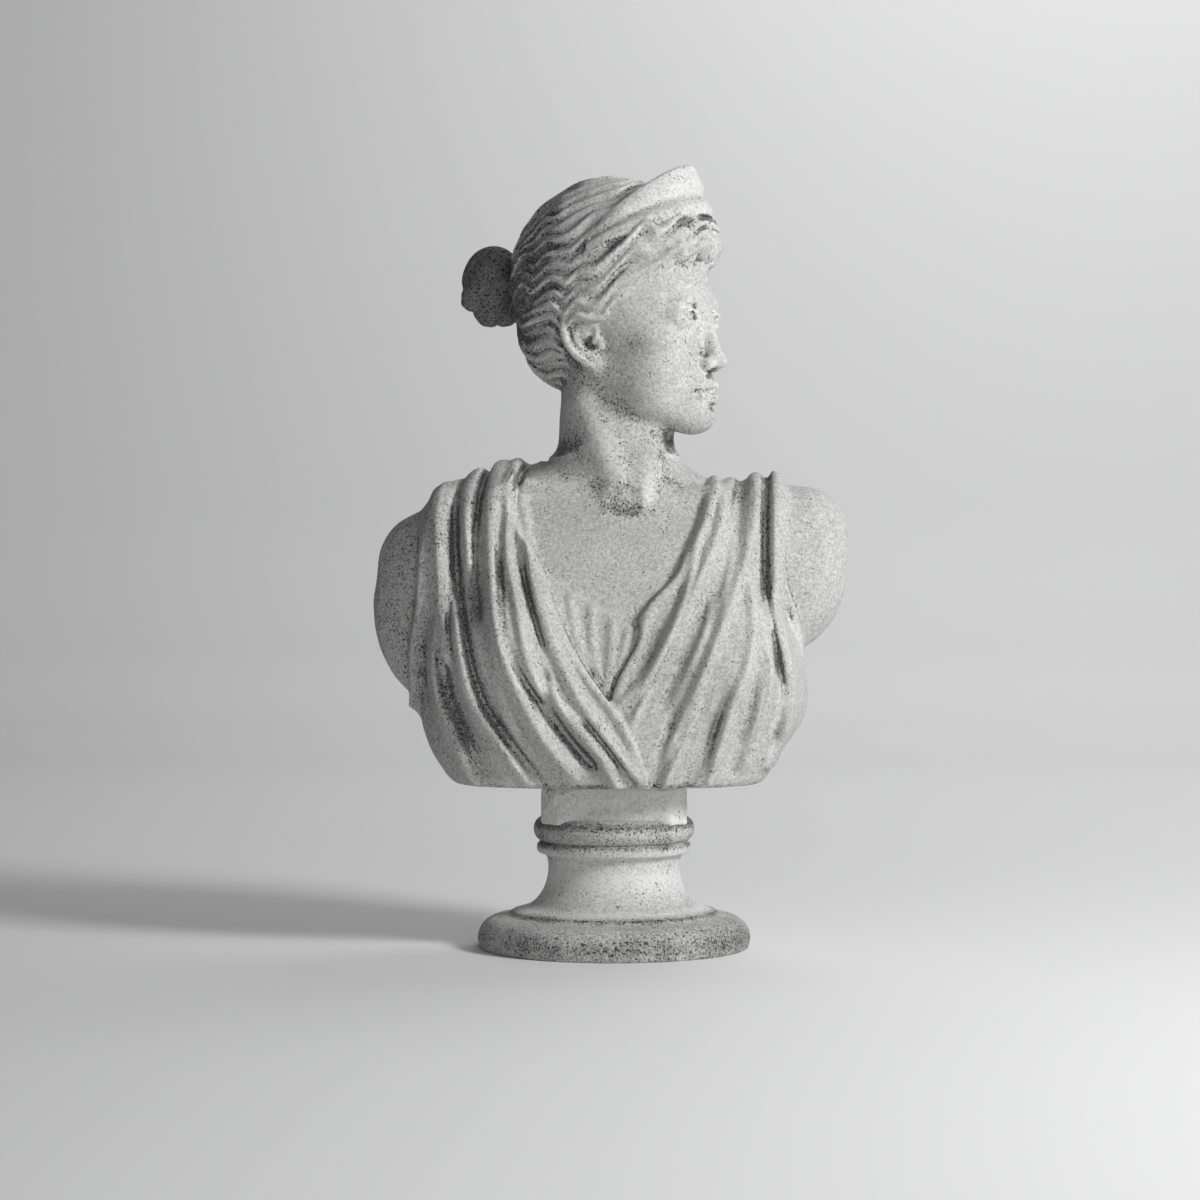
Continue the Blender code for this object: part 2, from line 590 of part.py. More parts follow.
def fill_pinches(values):
    """Fills the cracks that are too narrow for the grid, where two surfaces would touch at an edge or a point."""
    n = np.array(values.shape) - 1
    faces = [[(0, 0, 0), (0, 1, 0), (0, 1, 1), (0, 0, 1)], [(0, 0, 0), (1, 0, 0), (1, 0, 1), (0, 0, 1)],
             [(0, 0, 0), (1, 0, 0), (1, 1, 0), (0, 1, 0)]]
    diagonals = [((0, 0, 0), (1, 1, 1)), ((1, 0, 0), (0, 1, 1)), ((0, 1, 0), (1, 0, 1)), ((0, 0, 1), (1, 1, 0))]

    def corner(offset):
        return values[tuple(slice(o, o + m) for o, m in zip(offset, n))]

    while True:
        pinched = 0
        for face in faces:
            a, b, c, d = (corner(offset) < 0 for offset in face)
            at = np.argwhere((a == c) & (b == d) & (a != b))
            pinched += len(at)
            for offset in face:
                fill_points(values, at + offset)
        inside = sum((corner((i, j, k)) < 0).astype(np.int8) for i in (0, 1) for j in (0, 1) for k in (0, 1))
        for ends in diagonals:
            both = (corner(ends[0]) < 0).astype(np.int8) + (corner(ends[1]) < 0)
            at = np.argwhere(((inside == 2) & (both == 2)) | ((inside == 6) & (both == 0)))
            pinched += len(at)
            for offset in np.ndindex(2, 2, 2):
                fill_points(values, at + offset)
        if not pinched:
            return values


def fill_points(values, at):
    at = tuple(at.T)
    values[at] = np.minimum(values[at], -0.2 * CELL)


def surface_net(values):
    """Vertices, in grid units, and quads: one vertex in each cell that the surface crosses."""
    inside = values < 0
    shape = np.array(values.shape) - 1
    offsets = [(i, j, k) for i in (0, 1) for j in (0, 1) for k in (0, 1)]
    full = np.zeros(shape, np.int8)
    for i, j, k in offsets:
        full += inside[i : shape[0] + i, j : shape[1] + j, k : shape[2] + k]
    cells = np.argwhere((full > 0) & (full < 8))
    index = np.full(shape, -1)
    index[tuple(cells.T)] = np.arange(len(cells))
    total, crossings = np.zeros((len(cells), 3)), np.zeros(len(cells))
    for start in offsets:
        for axis in range(3):
            if start[axis]:
                continue
            end = np.array(start)
            end[axis] = 1
            a, b = values[tuple((cells + start).T)], values[tuple((cells + end).T)]
            crossed = (a < 0) != (b < 0)
            t = a / np.where(crossed, a - b, 1.0)
            point = np.tile(np.array(start, float), (len(cells), 1))
            point[:, axis] = t
            total += point * crossed[:, None]
            crossings += crossed
    vertices = cells + total / crossings[:, None]
    quads = []
    for axis in range(3):
        side, up = (axis + 1) % 3, (axis + 2) % 3
        head = np.take(inside, range(1, inside.shape[axis]), axis)
        tail = np.take(inside, range(inside.shape[axis] - 1), axis)
        for leaving in (False, True):
            at = np.argwhere(tail & ~head if leaving else head & ~tail)
            ring = []
            for ds, du in ((0, 0), (-1, 0), (-1, -1), (0, -1)):
                cell = at.copy()
                cell[:, side] += ds
                cell[:, up] += du
                ring.append(index[tuple(cell.T)])
            quads.append(np.stack(ring if leaving else ring[::-1], axis=1))
    return vertices, np.concatenate(quads)


# Objects


def stone_material(name):
    material = bpy.data.materials.new(name)
    material.use_nodes = True
    shader = material.node_tree.nodes["Principled BSDF"]
    shader.inputs["Base Color"].default_value = STONE
    shader.inputs["Roughness"].default_value = STONE_ROUGHNESS
    shader.inputs["Metallic"].default_value = 0.0
    return material


def largest_shell(vertices, quads):
    """Drops the small voids that are sealed inside the figure."""
    label = np.arange(len(vertices))
    while True:
        lower = label.copy()
        np.minimum.at(lower, quads, label[quads].min(axis=1)[:, None])
        lower = lower[lower]
        if (lower == label).all():
            break
        label = lower
    keep = label == np.bincount(label).argmax()
    return vertices[keep], (np.cumsum(keep) - 1)[quads[keep[quads[:, 0]]]]


def new_object(name, vertices, faces, material):
    mesh = bpy.data.meshes.new(name)
    mesh.from_pydata([tuple(v) for v in vertices], [], [tuple(f) for f in faces])
    mesh.materials.append(material)
    mesh.shade_smooth()
    obj = bpy.data.objects.new(name, mesh)
    bpy.context.scene.collection.objects.link(obj)
    return obj


def make_bust(material, underside):
    vertices, quads = largest_shell(*surface_net(field_grid()))
    metres = BUST_HEIGHT / FIGURE_PARTS
    placed = (FIELD_LOW + vertices * CELL) * metres
    placed[:, 2] += underside
    obj = new_object("bust", placed, quads.tolist(), material)
    smooth_parts = obj.vertex_groups.new(name="smooth_parts")
    on_head = placed[:, 2] > underside + HEAD_FROM * metres
    smooth_parts.add(np.flatnonzero(on_head).tolist(), HEAD_THINNING, "REPLACE")
    smooth_parts.add(np.flatnonzero(~on_head).tolist(), 1.0, "REPLACE")
    fewer = obj.modifiers.new("fewer_faces", "DECIMATE")
    fewer.vertex_group = smooth_parts.name
    fewer.vertex_group_factor = 0.1
    fewer.ratio = min(1.0, BUST_TRIANGLES / (2 * len(quads)))
    return obj


def arc(radius, level, half_width, half_height, start, end, steps):
    """Points of a quarter or half round of a moulding, as (radius, height), by angles in degrees from outwards."""
    angles = np.radians(np.linspace(start, end, steps))
    return [(radius + half_width * math.cos(a), level + half_height * math.sin(a)) for a in angles]


def socle_profile():
    """The turned part's outline as (radius, height), from its top down."""
    step_base = FOOT_HEIGHT
    hollow_base = step_base + STEP_HEIGHT
    collar_base = hollow_base + HOLLOW_HEIGHT
    roll_base = collar_base + COLLAR_HEIGHT
    top = roll_base + ROLL_HEIGHT
    roll_bulge = ROLL_HEIGHT * 0.42
    collar_bulge = COLLAR_HEIGHT * 0.42
    hollow = STEP_RADIUS - 0.004 - WAIST_RADIUS
    flare = (COLLAR_RADIUS - WAIST_RADIUS) * 0.45
    flare_height = HOLLOW_HEIGHT * 0.24
    waist_level = collar_base - flare_height
    foot_bulge = 0.020
    points = [(0.0, top)]
    points += arc(ROLL_RADIUS - roll_bulge, (roll_base + top) / 2, roll_bulge, ROLL_HEIGHT / 2, 90, -80, 7)
    points += arc(COLLAR_RADIUS - collar_bulge, (collar_base + roll_base) / 2, collar_bulge, COLLAR_HEIGHT / 2,
                  75, -90, 5)
    points += arc(WAIST_RADIUS + flare, waist_level, -flare, flare_height, 90, 15, 3)
    points += arc(WAIST_RADIUS + hollow, waist_level, -hollow, -(waist_level - hollow_base), 0, 82, 7)
    points += [(STEP_RADIUS, hollow_base - STEP_HEIGHT * 0.35), (STEP_RADIUS + 0.004, step_base)]
    points += arc(FOOT_RADIUS - foot_bulge, FOOT_HEIGHT * 0.28, foot_bulge, FOOT_HEIGHT * 0.66, 76, 0, 6)
    points += [(FOOT_RADIUS - 0.0015, 0.0015), (FOOT_RADIUS - 0.0035, 0.0), (0.0, 0.0)]
    return points, top


def make_socle(material):
    profile, roll_top = socle_profile()
    edges = [(i, i + 1) for i in range(len(profile) - 1)]
    mesh = bpy.data.meshes.new("socle")
    mesh.from_pydata([(r, 0.0, z) for r, z in profile], edges, [])
    mesh.materials.append(material)
    obj = bpy.data.objects.new("socle", mesh)
    bpy.context.scene.collection.objects.link(obj)
    lathe = obj.modifiers.new("lathe", "SCREW")
    lathe.steps = lathe.render_steps = LATHE_STEPS
    lathe.use_merge_vertices = True
    lathe.merge_threshold = 0.00005
    lathe.use_smooth_shade = True
    block = make_block(material, roll_top)
    join = obj.modifiers.new("block", "BOOLEAN")
    join.operation = "UNION"
    join.object = block
    return obj, roll_top - BLOCK_SINK + BLOCK_HEIGHT


def make_block(material, roll_top):
    half_x, half_y, c = BLOCK_WIDTH / 2, BLOCK_DEPTH / 2, BLOCK_CHAMFER
    outline = []
    for sx, sy in ((1, -1), (1, 1), (-1, 1), (-1, -1)):
        corner = [(sx * (half_x - c), sy * half_y), (sx * half_x, sy * (half_y - c))]
        outline += corner if sx * sy < 0 else corner[::-1]
    low, high = roll_top - BLOCK_SINK, roll_top - BLOCK_SINK + BLOCK_HEIGHT
    n = len(outline)
    vertices = [(x, y, z) for z in (low, high) for x, y in outline]
    sides = [(i, (i + 1) % n, (i + 1) % n + n, i + n) for i in range(n)]
    faces = [tuple(range(n))[::-1], tuple(range(n, 2 * n))] + sides
    block = new_object("block_form", vertices, faces, material)
    block.hide_render = True
    block.display_type = "WIRE"
    return block


def main():
    for obj in list(bpy.data.objects):
        bpy.data.objects.remove(obj)
    material = stone_material("cast_stone")
    _, block_top = make_socle(material)
    make_bust(material, block_top + JOINT_GAP)


main()
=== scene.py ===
# Looks of a draped classical bust in worn cast stone, on its turned socle.
# The bust is modelled like clay: forms are added to and cut from a field of distances,
# and the field's zero surface becomes the mesh. Its lengths are in millimetres.
import math
import time

import bpy
import numpy as np
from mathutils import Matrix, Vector


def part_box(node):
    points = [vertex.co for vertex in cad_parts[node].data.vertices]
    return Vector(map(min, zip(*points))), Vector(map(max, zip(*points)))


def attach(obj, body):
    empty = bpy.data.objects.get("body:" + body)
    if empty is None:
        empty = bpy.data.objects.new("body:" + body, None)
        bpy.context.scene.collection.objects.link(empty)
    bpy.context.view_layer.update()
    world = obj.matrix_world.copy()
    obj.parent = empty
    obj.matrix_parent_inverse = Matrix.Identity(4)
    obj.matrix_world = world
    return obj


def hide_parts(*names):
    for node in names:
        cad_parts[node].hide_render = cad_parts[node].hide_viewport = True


started = time.time()
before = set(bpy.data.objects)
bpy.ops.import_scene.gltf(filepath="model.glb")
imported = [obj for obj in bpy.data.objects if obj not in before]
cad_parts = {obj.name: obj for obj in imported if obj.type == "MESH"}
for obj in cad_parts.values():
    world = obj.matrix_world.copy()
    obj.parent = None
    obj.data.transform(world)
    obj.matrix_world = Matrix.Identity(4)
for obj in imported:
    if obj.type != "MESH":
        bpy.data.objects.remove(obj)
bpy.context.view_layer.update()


def report(stage):
    print(f"{stage} ({time.time() - started:.1f} s)", flush=True)


# Field of distances

blockSide = 4  # points along each side of a block
farAway = 40.0


def blendMin(a, b, k):  # the union of two fields, melted together over about k
    h = np.clip(0.5 + 0.5 * (b - a) / k, 0.0, 1.0)
    return b + (a - b) * h - k * h * (1.0 - h)


def smoothStep(x, low, high):
    t = np.clip((x - low) / (high - low), 0.0, 1.0)
    return t * t * (3.0 - 2.0 * t)


def turnAbout(axis, degrees):
    x, y, z = axis
    c, s = math.cos(math.radians(degrees)), math.sin(math.radians(degrees))
    cross = np.array([[0, -z, y], [z, 0, -x], [-y, x, 0]])
    return np.eye(3) * c + (1 - c) * np.outer(axis, axis) + s * cross


def ovalDistance(p, centre, radii, turn=None):
    q = p - centre if turn is None else (p - centre) @ turn
    outer = np.linalg.norm(q / radii, axis=-1)
    inner = np.linalg.norm(q / radii**2, axis=-1)
    return outer * (outer - 1.0) / np.maximum(inner, 1e-6)


# The distance from a path. A scale below 1 makes the distance count less along that axis.
def pathDistance(points, path, share, scales):
    best = np.full(points.shape[:-1], np.inf)
    along = np.zeros(points.shape[:-1])
    for a, b, s0, s1, scale in zip(path[:-1], path[1:], share[:-1], share[1:], scales):
        run = (b - a) * scale
        offset = (points - a) * scale
        t = np.clip(offset @ run / (run @ run), 0.0, 1.0)
        away = np.linalg.norm(offset - t[..., None] * run, axis=-1)
        closer = away < best
        best = np.where(closer, away, best)
        along = np.where(closer, s0 + t * (s1 - s0), along)
    return best, along


class Clay:
    # blocks of points, each point with its distance to the surface, negative inside it

    def __init__(self, points, depth=None):
        self.points = points
        self.depth = np.full(points.shape[:2], 999.0) if depth is None else depth
        self.centres = (points.max(axis=1) + points.min(axis=1)) / 2
        self.radius = np.linalg.norm(points[:, -1] - points[:, 0], axis=1).max() / 2

    def within(self, low, high, reach):
        low = np.asarray(low) - reach - self.radius
        high = np.asarray(high) + reach + self.radius
        return np.flatnonzero(np.all((self.centres > low) & (self.centres < high), axis=1))

    def add(self, low, high, shape, k):
        ids = self.within(low, high, farAway)
        self.depth[ids] = blendMin(self.depth[ids], shape(self.points[ids]), k)

    def cut(self, low, high, shape, k):
        ids = self.within(low, high, k)
        self.depth[ids] = -blendMin(-self.depth[ids], shape(self.points[ids]), k)

    def ball(self, centre, radii, k, turn=None, cut=False):
        centre = np.asarray(centre, float)
        radii = np.broadcast_to(np.asarray(radii, float), 3)
        reach = radii.max()
        work = self.cut if cut else self.add
        work(centre - reach, centre + reach, lambda p: ovalDistance(p, centre, radii, turn), k)

    def limb(self, start, end, startRadius, endRadius, k, cut=False):  # a rounded cone
        start, end = np.asarray(start, float), np.asarray(end, float)
        run = end - start

        def shape(p):
            t = np.clip((p - start) @ run / (run @ run), 0.0, 1.0)
            near = np.linalg.norm(p - start - t[..., None] * run, axis=-1)
            return near - (startRadius + (endRadius - startRadius) * t)

        reach = max(startRadius, endRadius)
        work = self.cut if cut else self.add
        work(np.minimum(start, end) - reach, np.maximum(start, end) + reach, shape, k)

    def nearPath(self, path, reach, scales=None):
        lengths = np.linalg.norm(np.diff(path, axis=0), axis=1)
        share = np.concatenate([[0.0], np.cumsum(lengths)]) / lengths.sum()
        ids = self.within(path.min(axis=0), path.max(axis=0), reach if scales is None else reach + 14)
        if not len(ids):
            return ids, np.zeros((0, 1)), np.zeros((0, 1))
        scales = np.ones((len(path) - 1, 3)) if scales is None else scales
        closest, _ = pathDistance(self.centres[ids][:, None], path, share, scales)
        ids = ids[closest[:, 0] < reach + self.radius]
        return ids, *pathDistance(self.points[ids], path, share, scales)

    # Raises a fold along a path on the surface, or sinks a groove if the height is negative
    def ridge(self, path, width, height, fadeIn=0.15, fadeOut=0.06, power=1.5, scales=None):
        ids, away, share = self.nearPath(path, width, scales)
        hill = np.clip(1.0 - (away / width) ** 2, 0.0, 1.0) ** power
        fade = smoothStep(share, -0.001, fadeIn + 0.001) * smoothStep(1.0 - share, -0.001, fadeOut + 0.001)
        self.depth[ids] -= height * hill * fade

    def lock(self, path, radius, k, tip=0.35, root=0.7):  # a rope of hair, thinner at its ends
        ids, away, share = self.nearPath(path, radius + 10.0)
        swell = root + (1.0 - root) * smoothStep(share, 0.0, 0.25)
        swell *= tip + (1.0 - tip) * smoothStep(1.0 - share, 0.0, 0.3)
        self.depth[ids] = blendMin(self.depth[ids], away - radius * swell, k)


def smoothCurve(x, knots, values):
    knots, values = np.asarray(knots, float), np.asarray(values, float)
    slopes = np.gradient(values, knots)
    i = np.clip(np.searchsorted(knots, x) - 1, 0, len(knots) - 2)
    span = knots[i + 1] - knots[i]
    t = np.clip((x - knots[i]) / span, 0.0, 1.0)
    rise = values[i] * (1 + 2 * t) * (1 - t) ** 2 + values[i + 1] * t * t * (3 - 2 * t)
    return rise + span * (slopes[i] * t * (1 - t) ** 2 - slopes[i + 1] * t * t * (1 - t))


def spline(points, count):  # a smooth curve through all the points
    points = np.asarray(points, float)
    lengths = np.linalg.norm(np.diff(points, axis=0), axis=1)
    knots = np.concatenate([[0.0], np.cumsum(lengths)])
    t = np.linspace(0.0, knots[-1], count)
    return np.stack([smoothCurve(t, knots, points[:, i]) for i in range(points.shape[1])], axis=1)


def surfacePoints(build, starts, direction, reach, step=2.5):  # where rays first meet the clay
    starts = np.asarray(starts, float)
    direction = np.broadcast_to(np.asarray(direction, float), starts.shape)
    travel = np.arange(0.0, reach, step)
    clay = Clay(starts[:, None] + travel[None, :, None] * direction[:, None])
    build(clay)
    inside = clay.depth < 0
    first = np.maximum(np.argmax(inside, axis=1), 1)
    rows = np.arange(len(starts))
    outer, inner = clay.depth[rows, first - 1], clay.depth[rows, first]
    part = outer / np.maximum(outer - inner, 1e-6)
    distance = travel[first - 1] + step * np.clip(part, 0.0, 1.0)
    return starts + distance[:, None] * direction


# Mesh of the field

def fieldGrid(build, low, high, cell):
    size = blockSide * cell
    blocks = np.ceil((high - low) / size).astype(int)
    corner = np.stack(np.meshgrid(*(np.arange(n) for n in blocks), indexing="ij"), axis=-1).reshape(-1, 3)
    inner = np.stack(np.meshgrid(*(np.arange(blockSide),) * 3, indexing="ij"), axis=-1).reshape(-1, 3)
    rough = Clay((low + (corner + 0.5) * size - cell / 2)[:, None])
    build(rough)
    near = np.flatnonzero(np.abs(rough.depth[:, 0]) < size * 2.2 + 3.0)
    fine = Clay(low + corner[near][:, None] * size + inner[None] * cell)
    build(fine)
    values = np.repeat(np.where(rough.depth > 0, farAway, -farAway).astype(np.float32), blockSide**3, axis=1)
    values[near] = fine.depth
    values = values.reshape(*blocks, blockSide, blockSide, blockSide).transpose(0, 3, 1, 4, 2, 5)
    return values.reshape(blocks * blockSide)


cellCorners = np.array(list(np.ndindex(2, 2, 2)))
cellFaces = ((0, 1, 3, 2), (4, 5, 7, 6), (0, 1, 5, 4), (2, 3, 7, 6), (0, 2, 6, 4), (1, 3, 7, 5))
cellDiagonals = ((0, 7), (1, 6), (2, 5), (3, 4))


def crossedCells(values):
    inside = values < 0
    n = np.array(values.shape) - 1
    full = np.zeros(n, np.int8)
    for i, j, k in cellCorners:
        full += inside[i : n[0] + i, j : n[1] + j, k : n[2] + k]
    return np.argwhere((full > 0) & (full < 8))


def fillPinches(values, cell):  # fills cracks where two surfaces would touch at an edge or a point
    while True:
        cells = crossedCells(values)
        at = tuple(np.moveaxis(cells[:, None] + cellCorners, -1, 0))
        inside = values[at] < 0
        pinched = np.zeros(len(cells), bool)
        for a, b, c, d in cellFaces:
            a, b, c, d = (inside[:, i] for i in (a, b, c, d))
            pinched |= (a == c) & (b == d) & (a != b)
        count = inside.sum(axis=1)
        for a, b in cellDiagonals:
            both = inside[:, a].astype(int) + inside[:, b]
            pinched |= ((count == 2) & (both == 2)) | ((count == 6) & (both == 0))
        if not pinched.any():
            return cells
        corners = np.where(inside, np.inf, values[at])[pinched]
        rows = np.flatnonzero(pinched)
        nearest = tuple(axis[rows, corners.argmin(axis=1)] for axis in at)  # the corner that moves least
        values[nearest] = -0.02 * cell


def surfaceNet(values, cells):  # one vertex in each cell that the surface crosses
    inside = values < 0
    index = np.full(np.array(values.shape) - 1, -1, np.int32)
    index[tuple(cells.T)] = np.arange(len(cells))
    total, crossings = np.zeros((len(cells), 3)), np.zeros(len(cells))
    for start in cellCorners:
        for axis in range(3):
            if start[axis]:
                continue
            end = start.copy()
            end[axis] = 1
            a, b = values[tuple((cells + start).T)], values[tuple((cells + end).T)]
            crossed = (a < 0) != (b < 0)
            point = np.tile(start.astype(float), (len(cells), 1))
            point[:, axis] = a / np.where(crossed, a - b, 1.0)
            total += point * crossed[:, None]
            crossings += crossed
    quads = []
    for axis in range(3):
        side, up = (axis + 1) % 3, (axis + 2) % 3
        head = np.take(inside, range(1, inside.shape[axis]), axis)
        tail = np.take(inside, range(inside.shape[axis] - 1), axis)
        for leaving in (False, True):
            at = np.argwhere(tail & ~head if leaving else head & ~tail)
            ring = []
            for ds, du in ((0, 0), (-1, 0), (-1, -1), (0, -1)):
                cell = at.copy()
                cell[:, side] += ds
                cell[:, up] += du
                ring.append(index[tuple(cell.T)])
            quads.append(np.stack(ring if leaving else ring[::-1], axis=1))
    return cells + total / crossings[:, None], np.concatenate(quads)


def largestShell(vertices, quads):  # drops the small voids that are sealed inside
    label = np.arange(len(vertices))
    while True:
        lower = label.copy()
        np.minimum.at(lower, quads, label[quads].min(axis=1)[:, None])
        lower = lower[lower]
        if (lower == label).all():
            break
        label = lower
    keep = label == np.bincount(label).argmax()
    return vertices[keep], (np.cumsum(keep) - 1)[quads[keep[quads[:, 0]]]]


def sampleField(values, at):  # the field between its grid points
    low = np.clip(np.floor(at).astype(int), 0, np.array(values.shape) - 2)
    t = at - low
    total = np.zeros(len(at))
    for corner in cellCorners:
        weight = np.prod(np.where(corner, t, 1.0 - t), axis=1)
        total += weight * values[tuple((low + corner).T)]
    return total


# Torso, shoulders, arms and neck. x runs to the viewer's right, -y is the front, z = 0 the underside.

torso = {
    "levels": (-20, 0, 30, 70, 110, 150, 190, 230, 262, 290, 315),
    "left": (135, 145, 165, 177, 177, 174, 171, 165, 140, 100, 60),
    "right": (127, 136, 154, 178, 178, 168, 160, 156, 140, 100, 60),
    "front": (84, 90, 96, 100, 100, 94, 84, 68, 53, 42, 36),
    "back": (56, 62, 70, 77, 81, 84, 84, 80, 70, 56, 43),
    "squareness": 2.5,
    "shoulders": (((-75, 10, 262), (-150, 6, 240), 44, 42), ((60, 10, 243), (152, 6, 242), 42, 41)),
    "breasts": (((-94, -60, 124), (62, 52, 58)), ((100, -60, 122), (60, 52, 58))),
    "arms": (((-158, 6, 171), (78, 55, 98)), ((-176, 4, 216), (54, 46, 50)), ((152, 6, 207), (76, 53, 84))),
    "rightArmTop": ((150, 4, 245), (184, 4, 245), 46, 45),
    "neck": ((0, 14, 240), (4, -4, 400), 58, 55),
    "collarbones": (((-22, -34, 276), (-84, -37, 290)), ((26, -34, 272), (88, -37, 282))),
    "neckCords": (((-30, -36, 372), (4, -51, 284)), ((44, -32, 372), (22, -51, 280))),
    "neckPit": ((13, -62, 276), (14, 10, 12)),
    "undersideRounding": 9.0,
}


def addTorso(clay):
    def shape(p):
        x, y, z = p[..., 0], p[..., 1], p[..., 2]
        left, right, front, back = (
            smoothCurve(z, torso["levels"], torso[side]) for side in ("left", "right", "front", "back")
        )
        wide, deep = np.where(x < 0, left, right), np.where(y < 0, front, back)
        n = torso["squareness"]
        around = (np.abs(x / wide) ** n + np.abs(y / deep) ** n) ** (1 / n)
        slope = np.hypot(np.abs(x / wide) ** (n - 1) / wide, np.abs(y / deep) ** (n - 1) / deep)
        slope *= np.maximum(around, 0.3) ** (1 - n)
        side = (around - 1.0) / np.maximum(slope, 0.5 / np.maximum(wide, deep))
        return np.maximum(side, z - torso["levels"][-1])

    clay.add((-190, -110, -40), (190, 90, 320), shape, 1.0)
    for start, end, startRadius, endRadius in torso["shoulders"]:
        clay.limb(start, end, startRadius, endRadius, 18.0)
    for centre, radii in torso["breasts"]:
        clay.ball(centre, radii, 26.0)
    for centre, radii in torso["arms"]:
        clay.ball(centre, radii, 9.0)
    clay.limb(*torso["rightArmTop"], 9.0)


def addNeck(clay):
    clay.limb(*torso["neck"], 22.0)
    for start, end in torso["collarbones"]:
        clay.limb(start, end, 8.0, 7.0, 14.0)
    for start, end in torso["neckCords"]:
        clay.limb(start, end, 10.0, 4.0, 20.0)
    clay.ball(*torso["neckPit"], 10.0, cut=True)


# Drapery. A place on the cloth is (x, s): s is the height up the front as far as frontTop, then the way
# over the shoulder to backTop, and from there the way down the back.

cloth = {
    "frontTop": 235.0,
    "backTop": 385.0,
    "axisY": 8.0,
    "leftEdge": (
        (0, 67, 97, 133, 183, 205, 228, 257, 293, 316, 340),
        (36, 8, -15, -38, -59, -66, -78, -96, -99, -88, -78),
    ),
    "rightEdge": (
        (0, 73, 103, 150, 163, 178, 203, 225, 259, 290, 330),
        (-30, -8, 2, 24, 24, 34, 58, 68, 85, 94, 90),
    ),
    "neckline": ((-70, -53, -15, 8, 27, 45), (206, 196, 173, 160, 151, 148)),
    "backNeckline": ((-120, -80, -45, 0, 50, 86, 120), (360, 330, 292, 282, 292, 330, 360)),
    "leftArmhole": ((0, 86, 134, 172, 230, 270, 300), (-230, -200, -198, -192, -188, -183, -170)),
    "rightArmhole": ((0, 75, 120, 154, 196, 247, 292, 310), (230, 205, 188, 181, 167, 164, 166, 160)),
    "shiftDepth": 3.5,
    "rightDepth": 9.5,
    "leftDepth": 12.5,
    "backDepth": 9.0,
    "hem": 1.6,  # half the width over which a layer rises
    "backFolds": 6,
    "backWidth": 270.0,
}

# Folds: places on the cloth, then the width and the height
leftFolds = (
    ((-168, 400), (-174, 290), (-168, 190), (-170, 100), (-136, 4), 12, 6.0),
    ((-150, 420), (-160, 320), (-168, 250), (-163, 170), (-160, 110), 8, 5.5),
    ((-132, 430), (-150, 330), (-160, 230), (-149, 148), (-132, 80), (-104, 38), (-80, 2), 9, 7.0),
    ((-108, 430), (-126, 330), (-142, 260), (-136, 200), 13, 7.5),
    ((-88, 420), (-106, 330), (-119, 250), (-113, 176), (-98, 110), (-66, 46), (-30, 2), 15, 9.5),
    ((-76, 360), (-98, 300), (-104, 235), (-93, 180), (-76, 108), (-32, 58), (6, 6), 10, 7.5),
    ((-94, 290), (-82, 220), (-64, 160), (-40, 98), (-2, 40), (30, 0), 10, 6.5),
    ((-66, 112), (-44, 62), (-10, 20), (8, -6), 7, 4.5),
    ((-118, 130), (-100, 66), (-60, 4), 6, 3.0),
    ((-176, 150), (-166, 60), (-130, -4), 8, 3.5),
)
leftHollows = (
    ((-142, 420), (-156, 300), (-152, 210), (-140, 130), (-112, 60), (-58, -4), 11, -7.0),
    ((-98, 420), (-114, 330), (-130, 270), (-132, 210), (-128, 150), 9, -6.0),
    ((-80, 390), (-102, 300), (-110, 220), (-100, 130), (-56, 62), (-12, 8), 7, -6.0),
    ((-72, 120), (-52, 66), (-14, 20), 8, -8.0),
    ((-160, 300), (-158, 200), (-158, 100), (-118, 4), 12, -5.0),
    ((-34, 72), (-4, 36), (24, -4), 5, -5.0),
    ((-90, 270), (-84, 200), (-66, 130), 5, -4.0),
)
rightFolds = (
    ((96, 400), (98, 300), (80, 226), (58, 160), (26, 102), (-4, 74), 8, 6.0),
    ((112, 420), (116, 320), (102, 250), (78, 195), (50, 138), (10, 52), 9, 7.0),
    ((136, 430), (139, 320), (132, 240), (110, 178), (88, 122), (40, 16), 8, 4.5),
    ((126, 300), (128, 220), (130, 140), (110, 72), (92, 10), 8, 3.5),
    ((140, 250), (148, 160), (146, 90), (122, 10), 8, 4.0),
    ((160, 420), (160, 330), (154, 236), (156, 170), (168, 100), (160, 40), 9, 7.5),
    ((172, 140), (172, 80), (146, 12), 9, 5.5),
    ((86, 110), (70, 60), (46, 0), 7, 4.5),
    ((118, 110), (104, 60), (88, -2), 7, 4.0),
)
rightHollows = (
    ((92, 290), (76, 200), (44, 120), (12, 66), 5, -5.0),
    ((126, 400), (126, 320), (112, 230), (80, 160), (40, 70), 9, -4.0),
    ((108, 110), (92, 56), (66, -4), 9, -5.5),
    ((148, 420), (150, 330), (146, 236), (146, 170), (158, 96), 7, -6.0),
    ((62, 90), (50, 50), (34, 0), 8, -4.0),
    ((134, 150), (132, 90), (108, 10), 8, -4.0),
)
shiftFolds = (
    ((-44, 190), (-34, 140), (-22, 112), 6, 2.5),
    ((-22, 178), (-20, 130), (-14, 100), 6, 2.8),
    ((-2, 166), (-4, 124), (-8, 90), 7, 3.0),
    ((14, 156), (8, 130), (0, 108), 5, 2.0),
)
